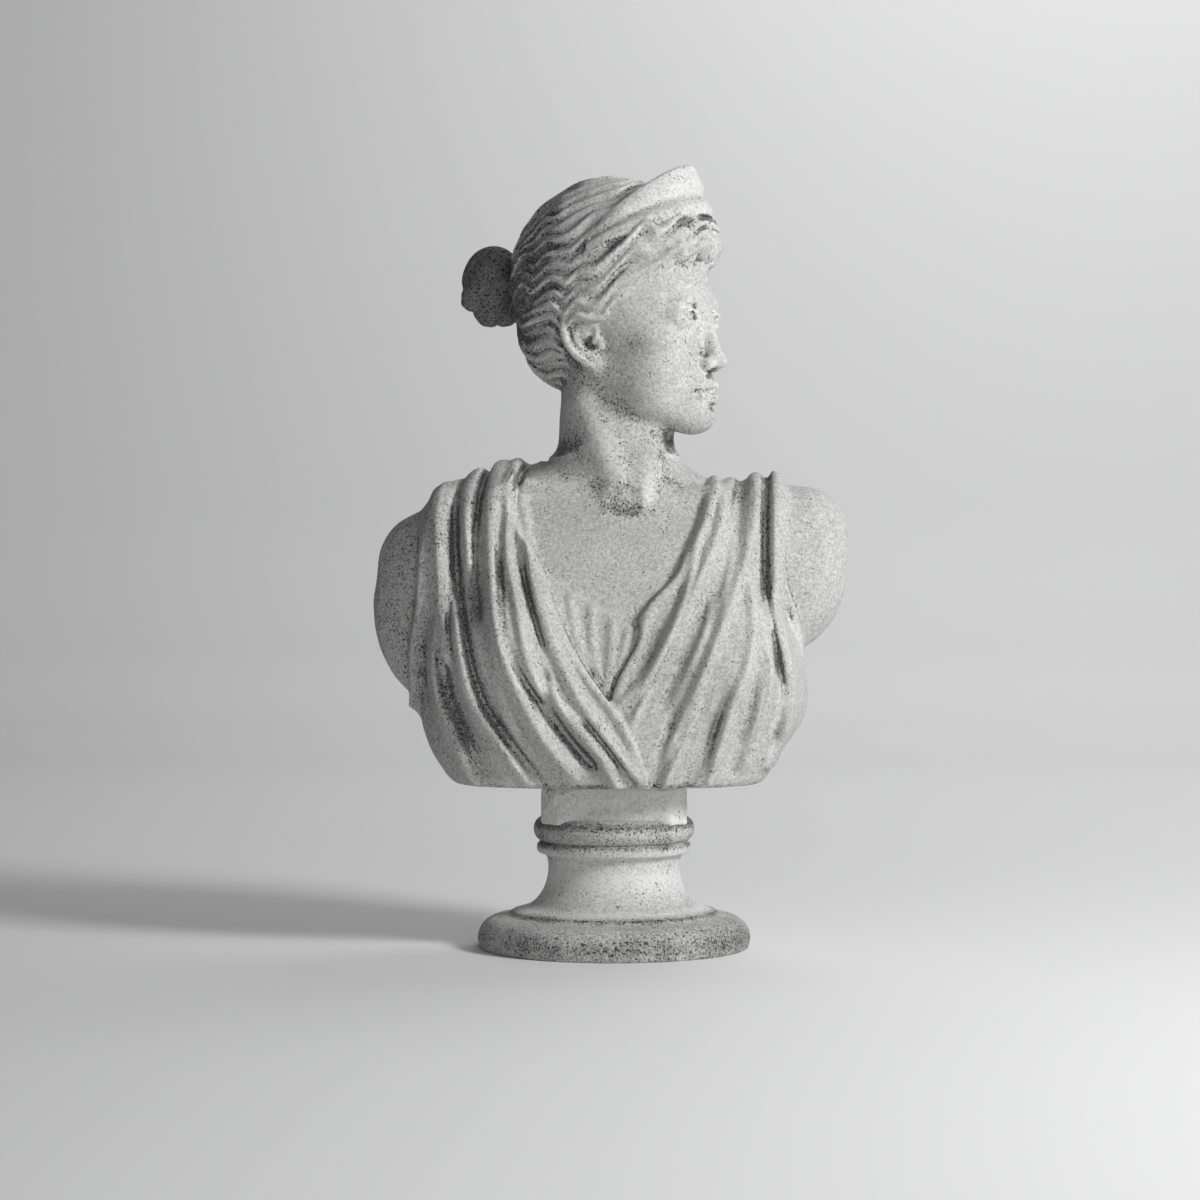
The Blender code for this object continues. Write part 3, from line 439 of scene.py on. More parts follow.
wrinkles = (
    ((-124, 300), (-130, 210), (-116, 130), (-84, 60), 4.5, 2.0),
    ((-86, 230), (-70, 160), (-50, 110), 4.5, 2.0),
    ((-52, 78), (-24, 44), (6, 12), 4.5, 2.2),
    ((-150, 120), (-130, 60), (-96, 12), 5, 2.2),
    ((96, 200), (84, 150), (62, 96), 4.5, 1.8),
    ((116, 250), (106, 190), (96, 150), 4.5, 1.8),
    ((66, 130), (40, 84), (20, 50), 4, 1.8),
    ((140, 120), (134, 70), (116, 24), 5, 2.2),
    ((100, 90), (88, 50), (72, 10), 4.5, 2.0),
    ((152, 130), (156, 80), (142, 30), 4.5, 2.0),
)


def layerOfCloth(p):
    x, y, z = p[..., 0], p[..., 1], p[..., 2]
    hem = cloth["hem"] + 5.0 * smoothStep(z, 215.0, 270.0)  # softer over the shoulders
    shift = cloth["shiftDepth"] * smoothStep(smoothCurve(x, *cloth["neckline"]) - z, -hem, hem)
    right = cloth["rightDepth"] * smoothStep(x - smoothCurve(z, *cloth["rightEdge"]), -hem, hem)
    left = cloth["leftDepth"] * smoothStep(smoothCurve(z, *cloth["leftEdge"]) - x, -hem, hem)
    front = np.maximum(np.maximum(shift, right), left)
    back = cloth["backDepth"] * smoothStep(smoothCurve(x, *cloth["backNeckline"]) - z, -hem, hem)
    depth = front + (back - front) * smoothStep(y, 4.0, 30.0)
    armholes = smoothStep(x - smoothCurve(z, *cloth["leftArmhole"]), -hem, hem)
    armholes *= smoothStep(smoothCurve(z, *cloth["rightArmhole"]) - x, -hem, hem)
    return depth * armholes


def addCloth(clay):
    ids = clay.within((-215, -140, -40), (215, 110, 330), 0.0)
    clay.depth[ids] -= layerOfCloth(clay.points[ids])


def addClothedTorso(clay):
    addTorso(clay)
    addCloth(clay)


def onCloth(places, count=25):
    line = spline(places, count)
    x, s = line[:, 0], line[:, 1]
    turn = np.clip((s - cloth["frontTop"]) / (cloth["backTop"] - cloth["frontTop"]), 0.0, 1.0) * math.pi
    level = np.where(s < cloth["frontTop"], s, cloth["frontTop"] - np.maximum(s - cloth["backTop"], 0.0))
    direction = np.stack([np.zeros(count), np.cos(turn), -np.sin(turn)], axis=1)
    middle = np.stack([x, np.full(count, cloth["axisY"]), level], axis=1)
    flatness = 1.0 - 0.7 * np.abs(direction[:-1, 1])  # in front and behind, a fold's height hardly counts
    scales = np.stack([np.ones(count - 1), flatness, np.ones(count - 1)], axis=1)
    return surfacePoints(addClothedTorso, middle - 150 * direction, direction, 150.0), scales


def addFold(clay, places, width, height, fadeIn=0.15, fadeOut=0.06):
    path, scales = onCloth(places)
    clay.ridge(path, width, height, fadeIn, fadeOut, 1.5, scales)
    if height > 3.2:  # a crisp crest along the broad fold
        clay.ridge(path, 0.4 * width, 0.3 * height, fadeIn, fadeOut, 1.2, scales)


def addDrapery(clay):
    addCloth(clay)
    left, right = leftFolds + leftHollows, rightFolds + rightHollows
    for group, fadeIn in ((left, 0.15), (right, 0.4), (shiftFolds, 0.15)):
        for *places, width, height in group:
            addFold(clay, places, width, height, fadeIn)
    for *places, width, height in wrinkles:
        addFold(clay, places, width, height, 0.3, 0.3)
    for edge, inward, levels in ((cloth["leftEdge"], -5, (305, 20)), (cloth["rightEdge"], 5, (300, 75))):
        heights = np.linspace(*levels, 12)
        places = np.stack([smoothCurve(heights, *edge) + inward, heights], axis=1)
        addFold(clay, places, 6.0, 2.8, 0.1, 0.1)
    width, count = cloth["backWidth"], cloth["backFolds"]
    for i in range(count):
        x = width * (i / (count - 1) - 0.5) + 9.0 * math.sin(2.4 * i)
        sway = 16.0 * math.sin(1.7 * i)
        addFold(clay, ((0.78 * x, 385), (x + sway, 500), (1.05 * x + 22, 640)), 15, 5.0 + i % 3, 0.3, 0.0)
        x += width / count / 2  # the hollow beside the fold
        addFold(clay, ((0.8 * x, 400), (x + sway, 510), (1.05 * x + 22, 640)), 11, -4.0, 0.3, 0.0)


# Head, in its own frame: the face looks along -y, z = 0 is the level of the eyes

head = {
    "centre": np.array([8.0, -8.0, 449.0]),
    "turn": 66.0,
    "nod": 2.0,
    "eyes": (31.0, -69.0, -2.0),
    "hairCentre": np.array([0.0, 12.0, 38.0]),
    "hairRadii": np.array([81.0, 98.0, 103.0]),
    "frontHairCentre": np.array([0.0, -26.0, 72.0]),
    "frontHairRadii": np.array([76.0, 73.0, 51.0]),
    "hairline": ((-120, -80, -40, -8, 20, 60), (60, 50, 24, -4, -28, -74)),
    "knot": ((0, 137, 45), (35, 31, 40)),
}


def addSkull(clay):
    clay.ball((0, 4, 32), (75, 93, 80), 1.0)
    clay.ball((0, -27, -28), (61, 60, 82), 20.0)
    for side in (-1, 1):
        clay.limb((side * 40, -8, -56), (side * 11, -64, -93), 15, 14, 18.0)
        clay.ball((side * 46, 14, -38), (15, 20, 30), 12.0)
        clay.ball((side * 41, -50, -25), (21, 22, 19), 14.0)
        clay.ball((side * 36, -40, -56), (19, 26, 26), 16.0)
    clay.ball((0, -75, -95), (18, 18, 16), 12.0)
    clay.ball((0, -66, -68), (30, 27, 25), 12.0)


def addEye(clay, side):
    x, y, z = side * head["eyes"][0], head["eyes"][1], head["eyes"][2]
    clay.ball((x, y, z), (18.5, 19.5, 13.5), 9.0)

    def opening(p):
        across = (p[..., 0] - x) / 15.5
        above = p[..., 2] - z
        gap = np.abs(above) / np.where(above > 0, 6.2, 4.8) + across**2 - 1.0
        return np.maximum(gap * 4.0, p[..., 1] - (y - 6))

    clay.cut((x - 17, y - 24, z - 8), (x + 17, y, z + 8), opening, 0.6)
    clay.ball((x, y, z), (19.0, 16.4, 15.0), 0.4)
    across = np.arange(-15.0, 16.0, 3.0)
    bulge = 0.024 * across**2
    upperLid = np.stack([x + across, y - 19.0 + bulge, z + 7.2 - 0.028 * across**2], axis=1)
    lowerLid = np.stack([x + across, y - 18.6 + bulge, z - 6.0 + 0.022 * across**2], axis=1)
    lidFold = np.stack([x + across, y - 17.5 + bulge, z + 11.5 - 0.022 * across**2], axis=1)
    clay.ridge(upperLid, 2.8, 1.3, 0.15, 0.15)
    clay.ridge(lowerLid, 2.6, 0.7, 0.15, 0.15)
    clay.ridge(lidFold, 3.0, -2.6, 0.2, 0.2)


def addFace(clay):
    clay.limb((-34, -78, 13), (34, -78, 13), 9.0, 9.0, 12.0)
    for side in (-1, 1):
        clay.ball((side * 31, -101, -1), (20, 19, 13), 9.0, cut=True)
    for side in (-1, 1):
        addEye(clay, side)
        clay.ball((side * 10.5, -91, -46.5), (5.5, 8.5, 6.0), 4.0)
    clay.limb((0, -82, 14), (0, -97, -38), 6.5, 7.5, 8.0)
    clay.ball((0, -98.5, -43.5), (8.5, 10, 7.5), 4.0)
    for side in (-1, 1):
        clay.ball((side * 5.5, -97, -51.5), (3.0, 5.0, 2.6), 1.5, cut=True)
    for side in (-1, 1):
        clay.limb((side * 4, -92.5, -66.0), (side * 20, -84, -70.5), 5.4, 3.0, 4.0)
        clay.limb((0, -91.5, -78.5), (side * 15, -86, -76.0), 6.6, 4.2, 4.0)
    lips = np.array([(-24, -80, -72), (-13, -92, -71.6), (0, -97.5, -72.8), (13, -92, -71.6), (24, -80, -72)])
    clay.ridge(lips, 3.8, -4.2, 0.1, 0.1)
    clay.ridge(np.array([(0, -95, -54), (0, -95, -62)], float), 4.0, -1.6, 0.3, 0.3)
    clay.ridge(np.array([(-12, -90, -86), (0, -92, -87), (12, -90, -86)], float), 5.0, -1.6, 0.3, 0.3)


ear = {
    "place": (62.0, 6.0, -20.0),
    "lean": -14.0,
    "flare": 17.0,
    "roll": 9.0,
    "rim": ((-2, -3), (-8, 6), (-8, 18), (-1, 28), (10, 30), (20, 23), (23, 8), (19, -7), (11, -19), (4, -26)),
    "inner": ((12, 20), (14, 8), (11, -5), (4, -13), (-3, -12)),
}


def addEar(clay, side):
    turn = turnAbout((0, 0, 1), -side * ear["flare"]) @ turnAbout((0, 1, 0), side * ear["roll"])
    turn = turn @ turnAbout((1, 0, 0), ear["lean"])
    place = np.array([side * ear["place"][0], *ear["place"][1:]])

    def at(y, z, out=0.0):
        return place + turn @ np.array([side * out, y, z])

    clay.ball(at(8, 4, -2), (5.5, 16, 27), 5.0, turn)
    clay.ball(at(3, -2, 7.0), (7.5, 9, 12), 2.0, turn, cut=True)
    clay.ball(at(8, 17, 6.0), (4.5, 6.5, 9), 2.0, turn, cut=True)
    clay.lock(spline([at(y, z, 2.5) for y, z in ear["rim"]], 28), 4.2, 1.5, tip=0.9, root=0.6)
    clay.lock(spline([at(y, z, 1.5) for y, z in ear["inner"]], 14), 3.2, 2.0, tip=0.8, root=0.7)
    clay.ball(at(2, -25, 0.5), (4.5, 8, 8), 3.0, turn)
    clay.ball(at(-8, -5, 2.5), (4.0, 3.8, 6.0), 3.0, turn)


# Hair: locks run back from the forehead, over the scalp and up from the nape, to a knot at the back.
# Its relief is drawn on a globe whose poles are the knot and the parting above the forehead.

hair = {
    "poleTilt": math.radians(-8),
    "locks": 46,  # around the whole globe, and so are the clumps
    "lockHeight": 4.6,
    "clumps": 15,
    "clumpHeight": 3.6,
    "waveHeight": 4.2,
    "waveLength": 40.0,
    "strandHeight": 0.9,
    "edgeThinning": 2.5,
    "fall": 0.3,  # how steeply the front locks run down
    "partingDepth": 4.0,
}


def crease(phase):  # round locks with sharp creases between them
    return np.abs(np.sin(math.pi * phase))


def hairRelief(p):
    q = (p - head["hairCentre"]) / head["hairRadii"] * 88.0
    x, y, z = q[..., 0], q[..., 1], q[..., 2]
    c, s = math.cos(hair["poleTilt"]), math.sin(hair["poleTilt"])
    toKnot, up = y * c + z * s, z * c - y * s
    size = np.maximum(np.linalg.norm(q, axis=-1), 1.0)
    spread = np.maximum(np.hypot(x, up), 1.0)
    # in front the locks leave the parting sideways, behind they draw together at the knot
    sideways = np.arccos(np.clip((up + hair["fall"] * np.minimum(toKnot, 0.0)) / size, -1.0, 1.0))
    around = np.arctan2(np.abs(x), up)
    front = smoothStep(-toKnot, 0.0, 40.0)
    around = around + (sideways - around) * front
    along = 88.0 * np.arctan2(spread, -toKnot)  # the way from the parting, in millimetres
    drift = 1.5 * np.sin(2 * around) + 0.8 * np.sin(5 * around + 1.0) + 0.3 * np.sin(x / 30.0)
    drift += 0.9 * np.sin(along / 17.0 + 2.3 * around) + 0.5 * np.sin(along / 9.0 - 6.0 * around)
    wave = hair["waveHeight"] * np.sin(2 * math.pi * along / hair["waveLength"] + drift)
    wave *= 0.85 + 0.35 * np.sin(3.7 * around + along / 24.0)
    wave += 2.5 * np.sin(along / 23.0 + 3 * around)
    nearKnot = smoothStep(62.0 - spread, 0.0, 34.0) * smoothStep(toKnot, 0.0, 30.0)
    reach = np.maximum(spread, 50.0)
    reach = reach + (88.0 - reach) * front
    turn = (around + wave * (1 - 0.6 * nearKnot) / reach) / (2 * math.pi)
    crown = smoothStep(up, 40.0, 75.0) * smoothStep(toKnot, -60.0, -20.0)
    relief = np.zeros(p.shape[:-1])
    fine = 1 - nearKnot
    for count, height in (
        (hair["locks"], hair["lockHeight"] * fine * (1 - 0.5 * crown)),
        (hair["locks"] // 2, 2.2 * crown),
    ):
        phase = turn * count + 0.3
        own = np.sin(np.floor(phase) * 2.4)
        relief += height * ((1.0 + 0.22 * own) * crease(phase) - 0.6)
    clump = turn * hair["clumps"] + 0.15 * np.sin(along / 21.0)
    relief += hair["clumpHeight"] * (crease(clump) * (1.0 + 0.3 * np.sin(np.floor(clump) * 1.7)) - 0.6)
    relief += hair["strandHeight"] * (crease(turn * hair["locks"] * 2 + 0.1) - 0.6) * fine
    relief *= np.maximum(smoothStep(spread, 4.0, 22.0), front)
    parting = np.exp(-((x / 3.0) ** 2)) * smoothStep(-toKnot, 20.0, 50.0)
    return relief + 1.0 - hair["partingDepth"] * parting


def hairShape(p):
    back = ovalDistance(p, head["hairCentre"], head["hairRadii"])
    front = ovalDistance(p, head["frontHairCentre"], head["frontHairRadii"])
    nape = ovalDistance(p, np.array([0.0, 56.0, -14.0]), np.array([50.0, 44.0, 45.0]))
    relief = hairRelief(p)
    above = p[..., 2] - smoothCurve(p[..., 1], *head["hairline"]) - 0.7 * (3.0 - relief)
    relief = relief * (0.4 + 0.6 * smoothStep(above, -2.0, 14.0))
    volume = blendMin(blendMin(back, front, 14.0), nape, 14.0) - relief
    volume += hair["edgeThinning"] * (1.0 - smoothStep(above, 0.0, 16.0))
    return -blendMin(-volume, above, 5.0)


def addHair(clay):
    reach = head["hairRadii"] + 16
    clay.add(head["hairCentre"] - reach - (0, 0, 20), head["hairCentre"] + reach, hairShape, 2.0)


def addKnot(clay):
    centre, radii = (np.array(v, float) for v in head["knot"])

    def shape(p):
        q = (p - centre) / radii
        winding = np.arctan2(q[..., 2], q[..., 0]) / (2 * math.pi)
        back = np.arctan2(np.hypot(q[..., 0], q[..., 2]), q[..., 1])
        phase = 5 * winding + 0.75 * back
        own = 1.0 + 0.3 * np.sin(np.floor(5 * winding + 0.75 * back) * 2.1)
        relief = 5.5 * (crease(phase) * own - 0.6) + 0.8 * crease(phase * 3)
        return ovalDistance(p, centre, radii) - relief * smoothStep(back, 0.0, 0.5)

    clay.add(centre - radii - 6, centre + radii + 6, shape, 3.0)
    clay.ball(centre + (0, radii[1] - 1, -6), (9, 6, 8), 3.0)


# Diadem: a crescent that stands on the hair from ear to ear and leans back

diadem = {
    "centre": (0.0, -8.0),
    "radii": (80.0, 84.0),
    "end": math.radians(96),
    "low": 104.0,
    "drop": 36.0,
    "rise": 42.0,
    "lean": 0.30,
    "foot": 7.5,  # half its thickness
    "top": 3.6,
}


def diademShape(p):
    x, y, z = p[..., 0] - diadem["centre"][0], p[..., 1] - diadem["centre"][1], p[..., 2]
    rx, ry = diadem["radii"]
    around = np.arctan2(x / rx, -y / ry)
    share = np.clip(np.abs(around) / diadem["end"], 0.0, 1.0)
    low = diadem["low"] - diadem["drop"] * share**1.4
    rise = diadem["rise"] * np.sqrt(1.0 - share**2) + 2.0
    up = np.clip((z - low) / rise, 0.0, 1.0)
    radial = (np.hypot(x / rx, y / ry) - 1.0) * rx + diadem["lean"] * (z - low)
    half = diadem["foot"] + (diadem["top"] - diadem["foot"]) * up
    band = 2.5 * np.exp(-(((up - 0.12) / 0.14) ** 2)) - 3.5 * np.exp(-(((up - 0.42) / 0.12) ** 2))
    band += 1.0 * np.exp(-(((up - 0.68) / 0.14) ** 2))
    thick = np.abs(radial + half) - half - np.where(radial > -half, band, 0.0)
    tall = np.abs(z - low - rise / 2 + 3) - rise / 2 - 3
    edge = -blendMin(-thick, -tall, 3.5)
    return np.maximum(edge, (np.abs(around) - diadem["end"]) * 80.0) * 0.85


def addDiadem(clay):
    clay.add((-95, -105, 50), (95, 20, 152), diademShape, 1.5)


chance = np.random.default_rng(11)
unevenWaves = [(chance.normal(size=3), chance.uniform(14, 60), chance.uniform(0, 6.3)) for _ in range(10)]


def uneven(p):  # the slight unevenness of a hand-finished cast
    total = np.zeros(p.shape[:-1])
    for direction, length, phase in unevenWaves:
        total += np.sin(p @ (direction / np.linalg.norm(direction) * (2 * math.pi / length)) + phase)
    return total


def sculptBust(clay):
    addTorso(clay)
    addNeck(clay)
    addDrapery(clay)
    turn = turnAbout((0, 0, 1), head["turn"]) @ turnAbout((1, 0, 0), -head["nod"])
    ids = np.flatnonzero(clay.centres[:, 2] > 290)
    if len(ids):
        part = Clay((clay.points[ids] - head["centre"]) @ turn)
        addSkull(part)
        addFace(part)
        for side in (-1, 1):
            addEar(part, side)
        addHair(part)
        addKnot(part)
        addDiadem(part)
        clay.depth[ids] = blendMin(part.depth, clay.depth[ids], 9.0)
    clay.depth += 0.09 * uneven(clay.points)
    clay.cut((-260, -160, -40), (260, 160, 4), lambda p: p[..., 2], torso["undersideRounding"])


# Materials

class Socket:  # wraps a socket, so that expressions on it add Math nodes
    def __init__(self, shade, link):
        self.shade, self.link = shade, link

    def maths(self, operation, *values):
        return self.shade.node("ShaderNodeMath", {"operation": operation}, values)

    def __add__(self, other):
        return self.maths("ADD", self, other)

    def __radd__(self, other):
        return self.maths("ADD", other, self)

    def __sub__(self, other):
        return self.maths("SUBTRACT", self, other)

    def __rsub__(self, other):
        return self.maths("SUBTRACT", other, self)

    def __mul__(self, other):
        return self.maths("MULTIPLY", self, other)

    def __rmul__(self, other):
        return self.maths("MULTIPLY", other, self)

    def __truediv__(self, other):
        return self.maths("DIVIDE", self, other)

    def clamp(self):
        return self.shade.node("ShaderNodeClamp", {}, [self])

    def between(self, low, high):  # 0 below low, 1 above high, smooth between
        return self.shade.node(
            "ShaderNodeMapRange", {"interpolation_type": "SMOOTHSTEP"}, [self, low, high, 0.0, 1.0]
        )


class Shade:  # one material's tree
    def __init__(self, name):
        self.material = bpy.data.materials.new(name)
        self.material.use_nodes = True
        self.tree = self.material.node_tree
        self.shader = self.tree.nodes["Principled BSDF"]

    # Adds a node: its type, its settings, and the values or links of its inputs, by place or by name
    def node(self, kind, settings, inputs, output=0):
        node = self.tree.nodes.new(kind)
        for key, value in settings.items():
            setattr(node, key, value)
        for key, value in inputs.items() if isinstance(inputs, dict) else enumerate(inputs):
            self.feed(node.inputs[key], value)
        return Socket(self, node.outputs[output])

    def feed(self, socket, value):
        if isinstance(value, Socket):
            self.tree.links.new(value.link, socket)
        elif value is not None:
            socket.default_value = value

    def mix(self, factor, a, b):  # a blend of two colours
        settings = {"data_type": "RGBA", "clamp_factor": True}
        return self.node("ShaderNodeMix", settings, {0: factor, 6: a, 7: b}, 2)

    def noise(self, at, scale, detail, roughness):
        inputs = {"Vector": at, "Scale": scale, "Detail": detail, "Roughness": roughness}
        return self.node("ShaderNodeTexNoise", {}, inputs, "Fac")

    def cells(self, at, scale):
        return self.node("ShaderNodeTexVoronoi", {}, {"Vector": at, "Scale": scale}, "Distance")

    def near(self, value, level, reach, strength):  # full strength at the level, none past the reach
        away = (value - level) / reach
        return (1.0 - away.maths("ABSOLUTE", away)).clamp() * strength

    def distance(self, at, place):
        return self.node("ShaderNodeVectorMath", {"operation": "DISTANCE"}, [at, place], "Value")


stone = {
    "light": (0.70, 0.70, 0.69, 1.0),
    "body": (0.40, 0.40, 0.395, 1.0),
    "dirtAndShade": (0.035, 0.035, 0.034, 1.0),
    "roughness": 0.9,
    "grain": 440.0,  # per metre
    "pits": 330.0,
    "bump": 0.0012,
    "shadedKnotPlace": (-0.12, 0.08, 0.652),
    "facePlace": (0.086, -0.043, 0.585),
}
# heights on the socle of dark bands, partly grime and partly painted shade in the grooves, and of pale bands,
# partly rubbed edges and partly painted light on the upper edges and the waist: level, reach, strength
socleDirtAndShadeBands = (
    (0.102, 0.005, 0.55),
    (0.110, 0.007, 0.35),
    (0.1225, 0.009, 0.75),
    (0.0355, 0.004, 0.6),
    (0.012, 0.024, 0.5),
)
soclePaleAndHighlightBands = ((0.131, 0.004, 0.5), (0.0395, 0.004, 0.5), (0.094, 0.005, 0.4), (0.07, 0.03, 0.55))


def castStone(name, hollowName=None, crestName=None, cleanAndLit=0.0):
    shade = Shade(name)
    at = shade.node("ShaderNodeTexCoord", {}, [], "Object")
    grain = shade.noise(at, stone["grain"], 2.0, 0.6)
    coarse = shade.noise(at, 240.0, 4.0, 0.75)
    patches = shade.noise(at, 12.0, 5.0, 0.62)
    blots = shade.noise(at, 42.0, 4.0, 0.6)
    pitSize = shade.noise(at, 70.0, 3.0, 0.6)
    pitReach = pitSize.between(0.4, 0.75) * 0.42 + (coarse - 0.5) * 0.5
    pit = (pitReach - shade.cells(at, stone["pits"])).between(0.0, 0.1)
    if hollowName:
        hollow = shade.node("ShaderNodeAttribute", {"attribute_name": hollowName}, [], "Fac")
        crest = shade.node("ShaderNodeAttribute", {"attribute_name": crestName}, [], "Fac")
        crest = crest.maths("MINIMUM", crest, 0.32)
        # the smooth skin of neck, face and arms holds less grime than cloth and hair
        carving = 0.2 + hollow.between(0.0, 0.12) + crest.between(0.0, 0.2)
        # darker in the hollows: partly grime in the grooves, partly painted shade in the recesses
        dirtAndShadeMask = (hollow - 0.05) * 2.1 + (patches - 0.5) * 1.3 * carving
        # painted shade on the side away from the light, most of all on the knot and the hair behind
        fromShadedKnot = shade.distance(at, stone["shadedKnotPlace"])
        across = shade.node("ShaderNodeSeparateXYZ", {}, [at], "X")
        dirtAndShadeMask = dirtAndShadeMask + (1.0 - fromShadedKnot.between(0.07, 0.2)) * 0.75
        dirtAndShadeMask = dirtAndShadeMask + (0.0 - across).between(0.04, 0.22) * 0.3
        # lighter around the face
        fromFace = shade.distance(at, stone["facePlace"])
        dirtAndShadeMask = dirtAndShadeMask - (1.0 - fromFace.between(0.06, 0.1)) * 0.35
    else:
        level = shade.node("ShaderNodeSeparateXYZ", {}, [at], "Z")
        # dark bands of grime and painted shade, pale bands of rubbed edges and painted light
        hollow = sum((shade.near(level, *band) for band in socleDirtAndShadeBands), 0.0)
        crest = sum((shade.near(level, *band) for band in soclePaleAndHighlightBands), 0.0)
        dirtAndShadeMask = hollow * 1.0 + (patches - 0.5) * 0.8
    # the block's offset takes off grime and also paints light against the shadow that the bust casts on it
    dirtAndShade = dirtAndShadeMask - cleanAndLit + (blots - 0.5) * 0.7 - crest * 1.0 + (grain - 0.5) * 1.0
    dirtAndShade = dirtAndShade.between(0.02, 0.75) * (0.3 + coarse * 1.4)
    speck = grain.between(0.55, 0.66) * (0.22 + dirtAndShade * 0.9)
    dark = (dirtAndShade * 0.66 + speck * 0.62 + pit * 0.75).clamp()
    # paler on the crests: partly worn edges, partly painted highlight
    lift = crest * 1.3 + (coarse - 0.5) * 1.8 + (0.5 - grain) * 1.6 + (0.5 - patches) * 0.8 + 0.25 + cleanAndLit
    lift = lift.clamp()
    # the dark colour stands for grime and for painted shade
    colour = shade.mix(dark, shade.mix(lift, stone["body"], stone["light"]), stone["dirtAndShade"])
    shade.feed(shade.shader.inputs["Base Color"], colour)
    shade.shader.inputs["Roughness"].default_value = stone["roughness"]
    shade.shader.inputs["Specular IOR Level"].default_value = 0.25
    height = coarse * 0.8 - grain * 0.4 - pit * 1.2
    relief = {"Strength": 0.6, "Distance": stone["bump"], "Height": height}
    bump = shade.node("ShaderNodeBump", {}, relief, "Normal")
    shade.feed(shade.shader.inputs["Normal"], bump)
    return shade.material


# The bust

bust = {
    "cell": 1.7,
    "quickCell": 3.4,
    "triangles": 194000,
    "low": np.array([-250.0, -150.0, -14.0]),
    "high": np.array([245.0, 120.0, 612.0]),
}


def addMesh(name, vertices, faces):
    mesh = bpy.data.meshes.new(name)
    mesh.from_pydata(vertices, [], faces)
    obj = bpy.data.objects.new(name, mesh)
    bpy.context.scene.collection.objects.link(obj)
    return obj


def applied(obj):  # the object with its modifiers turned into a plain mesh
    bpy.context.view_layer.update()
    mesh = bpy.data.meshes.new_from_object(obj.evaluated_get(bpy.context.evaluated_depsgraph_get()))
    obj.modifiers.clear()
    if obj.type == "MESH":
        obj.data = mesh
        return obj
    made = bpy.data.objects.new(obj.name, mesh)
    bpy.context.scene.collection.objects.link(made)
    bpy.data.objects.remove(obj)
    return made


def putAttribute(mesh, name, values):
    layer = mesh.attributes.new(name, "FLOAT", "POINT")
    layer.data.foreach_set("value", np.asarray(values, np.float32))


# The field's surface as a mesh, with how hollow and how raised each place is
def meshOfField(name, build, low, high, cell, triangles, level):
    values = fieldGrid(build, low, high, cell)
    report(f"field of {name}")
    cells = fillPinches(values, cell)
    vertices, quads = largestShell(*surfaceNet(values, cells))
    around, total = np.zeros(len(vertices)), np.zeros_like(vertices)
    for i in range(4):  # evens out the net's steps a little
        for axis in range(3):
            total[:, axis] += np.bincount(quads[:, i], vertices[quads[:, i - 1], axis], len(vertices))
        around += np.bincount(quads[:, i], minlength=len(vertices))
    vertices += 0.45 * (total / around[:, None] - vertices)
    placed = (low + vertices * cell) / 1000 + np.array([0, 0, level])
    obj = addMesh(name, placed, quads)
    fewer = obj.modifiers.new("fewerFaces", "DECIMATE")
    fewer.ratio = min(1.0, triangles / (2 * len(quads)))
    report(f"surface of {name}, {2 * len(quads)} triangles")
    applied(obj)
    mesh = obj.data
    mesh.shade_smooth()
    co, normals = np.zeros(len(mesh.vertices) * 3), np.zeros(len(mesh.vertices) * 3)
    mesh.vertices.foreach_get("co", co)
    mesh.vertices.foreach_get("normal", normals)
    at = ((co.reshape(-1, 3) - np.array([0, 0, level])) * 1000 - low) / cell
    normals = normals.reshape(-1, 3)
    hollow, crest = np.zeros(len(at)), np.zeros(len(at))
    for reach, weight in ((2.5, 0.2), (5.0, 0.25), (9.0, 0.3), (15.0, 0.25)):
        outside = np.clip(sampleField(values, at + normals * reach / cell), -reach, reach)
        hollow += weight * (1.0 - outside / reach)
    for reach, weight in ((2.5, 0.35), (5.0, 0.35), (8.0, 0.3)):
        inside = np.clip(sampleField(values, at - normals * reach / cell), -reach, reach)
        crest += weight * (1.0 + inside / reach)
    putAttribute(mesh, "hollow", hollow)
    putAttribute(mesh, "crest", crest)
    return obj


def makeBust():
    cell = bust["cell"]
    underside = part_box("bust")[0][2]
    obj = meshOfField("bustFigure", sculptBust, bust["low"], bust["high"], cell, bust["triangles"], underside)
    obj.data.materials.append(castStone("castStoneFigure", "hollow", "crest"))
    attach(obj, "root")
    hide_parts("bust")
    report(f"bust, {len(obj.data.polygons)} faces")


# The socle: a turned part and the block on top of it

socle = {
    "steps": 120,
    "rows": 90,
    "footRadius": 0.134,
    "footHeight": 0.032,
    "stepRadius": 0.100,
    "stepHeight": 0.006,
    "waistRadius": 0.0645,
    "hollowHeight": 0.054,
    "collarRadius": 0.0760,
    "collarHeight": 0.012,
    "rollRadius": 0.0790,
    "rollHeight": 0.024,
    "blockWidth": 0.142,
    "blockDepth": 0.118,
    "blockHeight": 0.0385,
    "blockChamfer": 0.016,
    "blockSink": 0.006,
    "blockCell": 1.6,  # in millimetres, as the next
    "blockQuickCell": 3.0,
    "blockTriangles": 16000,
    "blockCleanAndLit": 0.5,  # how much less grime it holds than the bust, and how much painted light lifts it against the bust's shadow
    "wobble": 0.006,  # as a share of the radius
}


def arc(radius, level, halfWidth, halfHeight, start, end, steps):
    angles = np.radians(np.linspace(start, end, steps))
    return [(radius + halfWidth * math.cos(a), level + halfHeight * math.sin(a)) for a in angles]


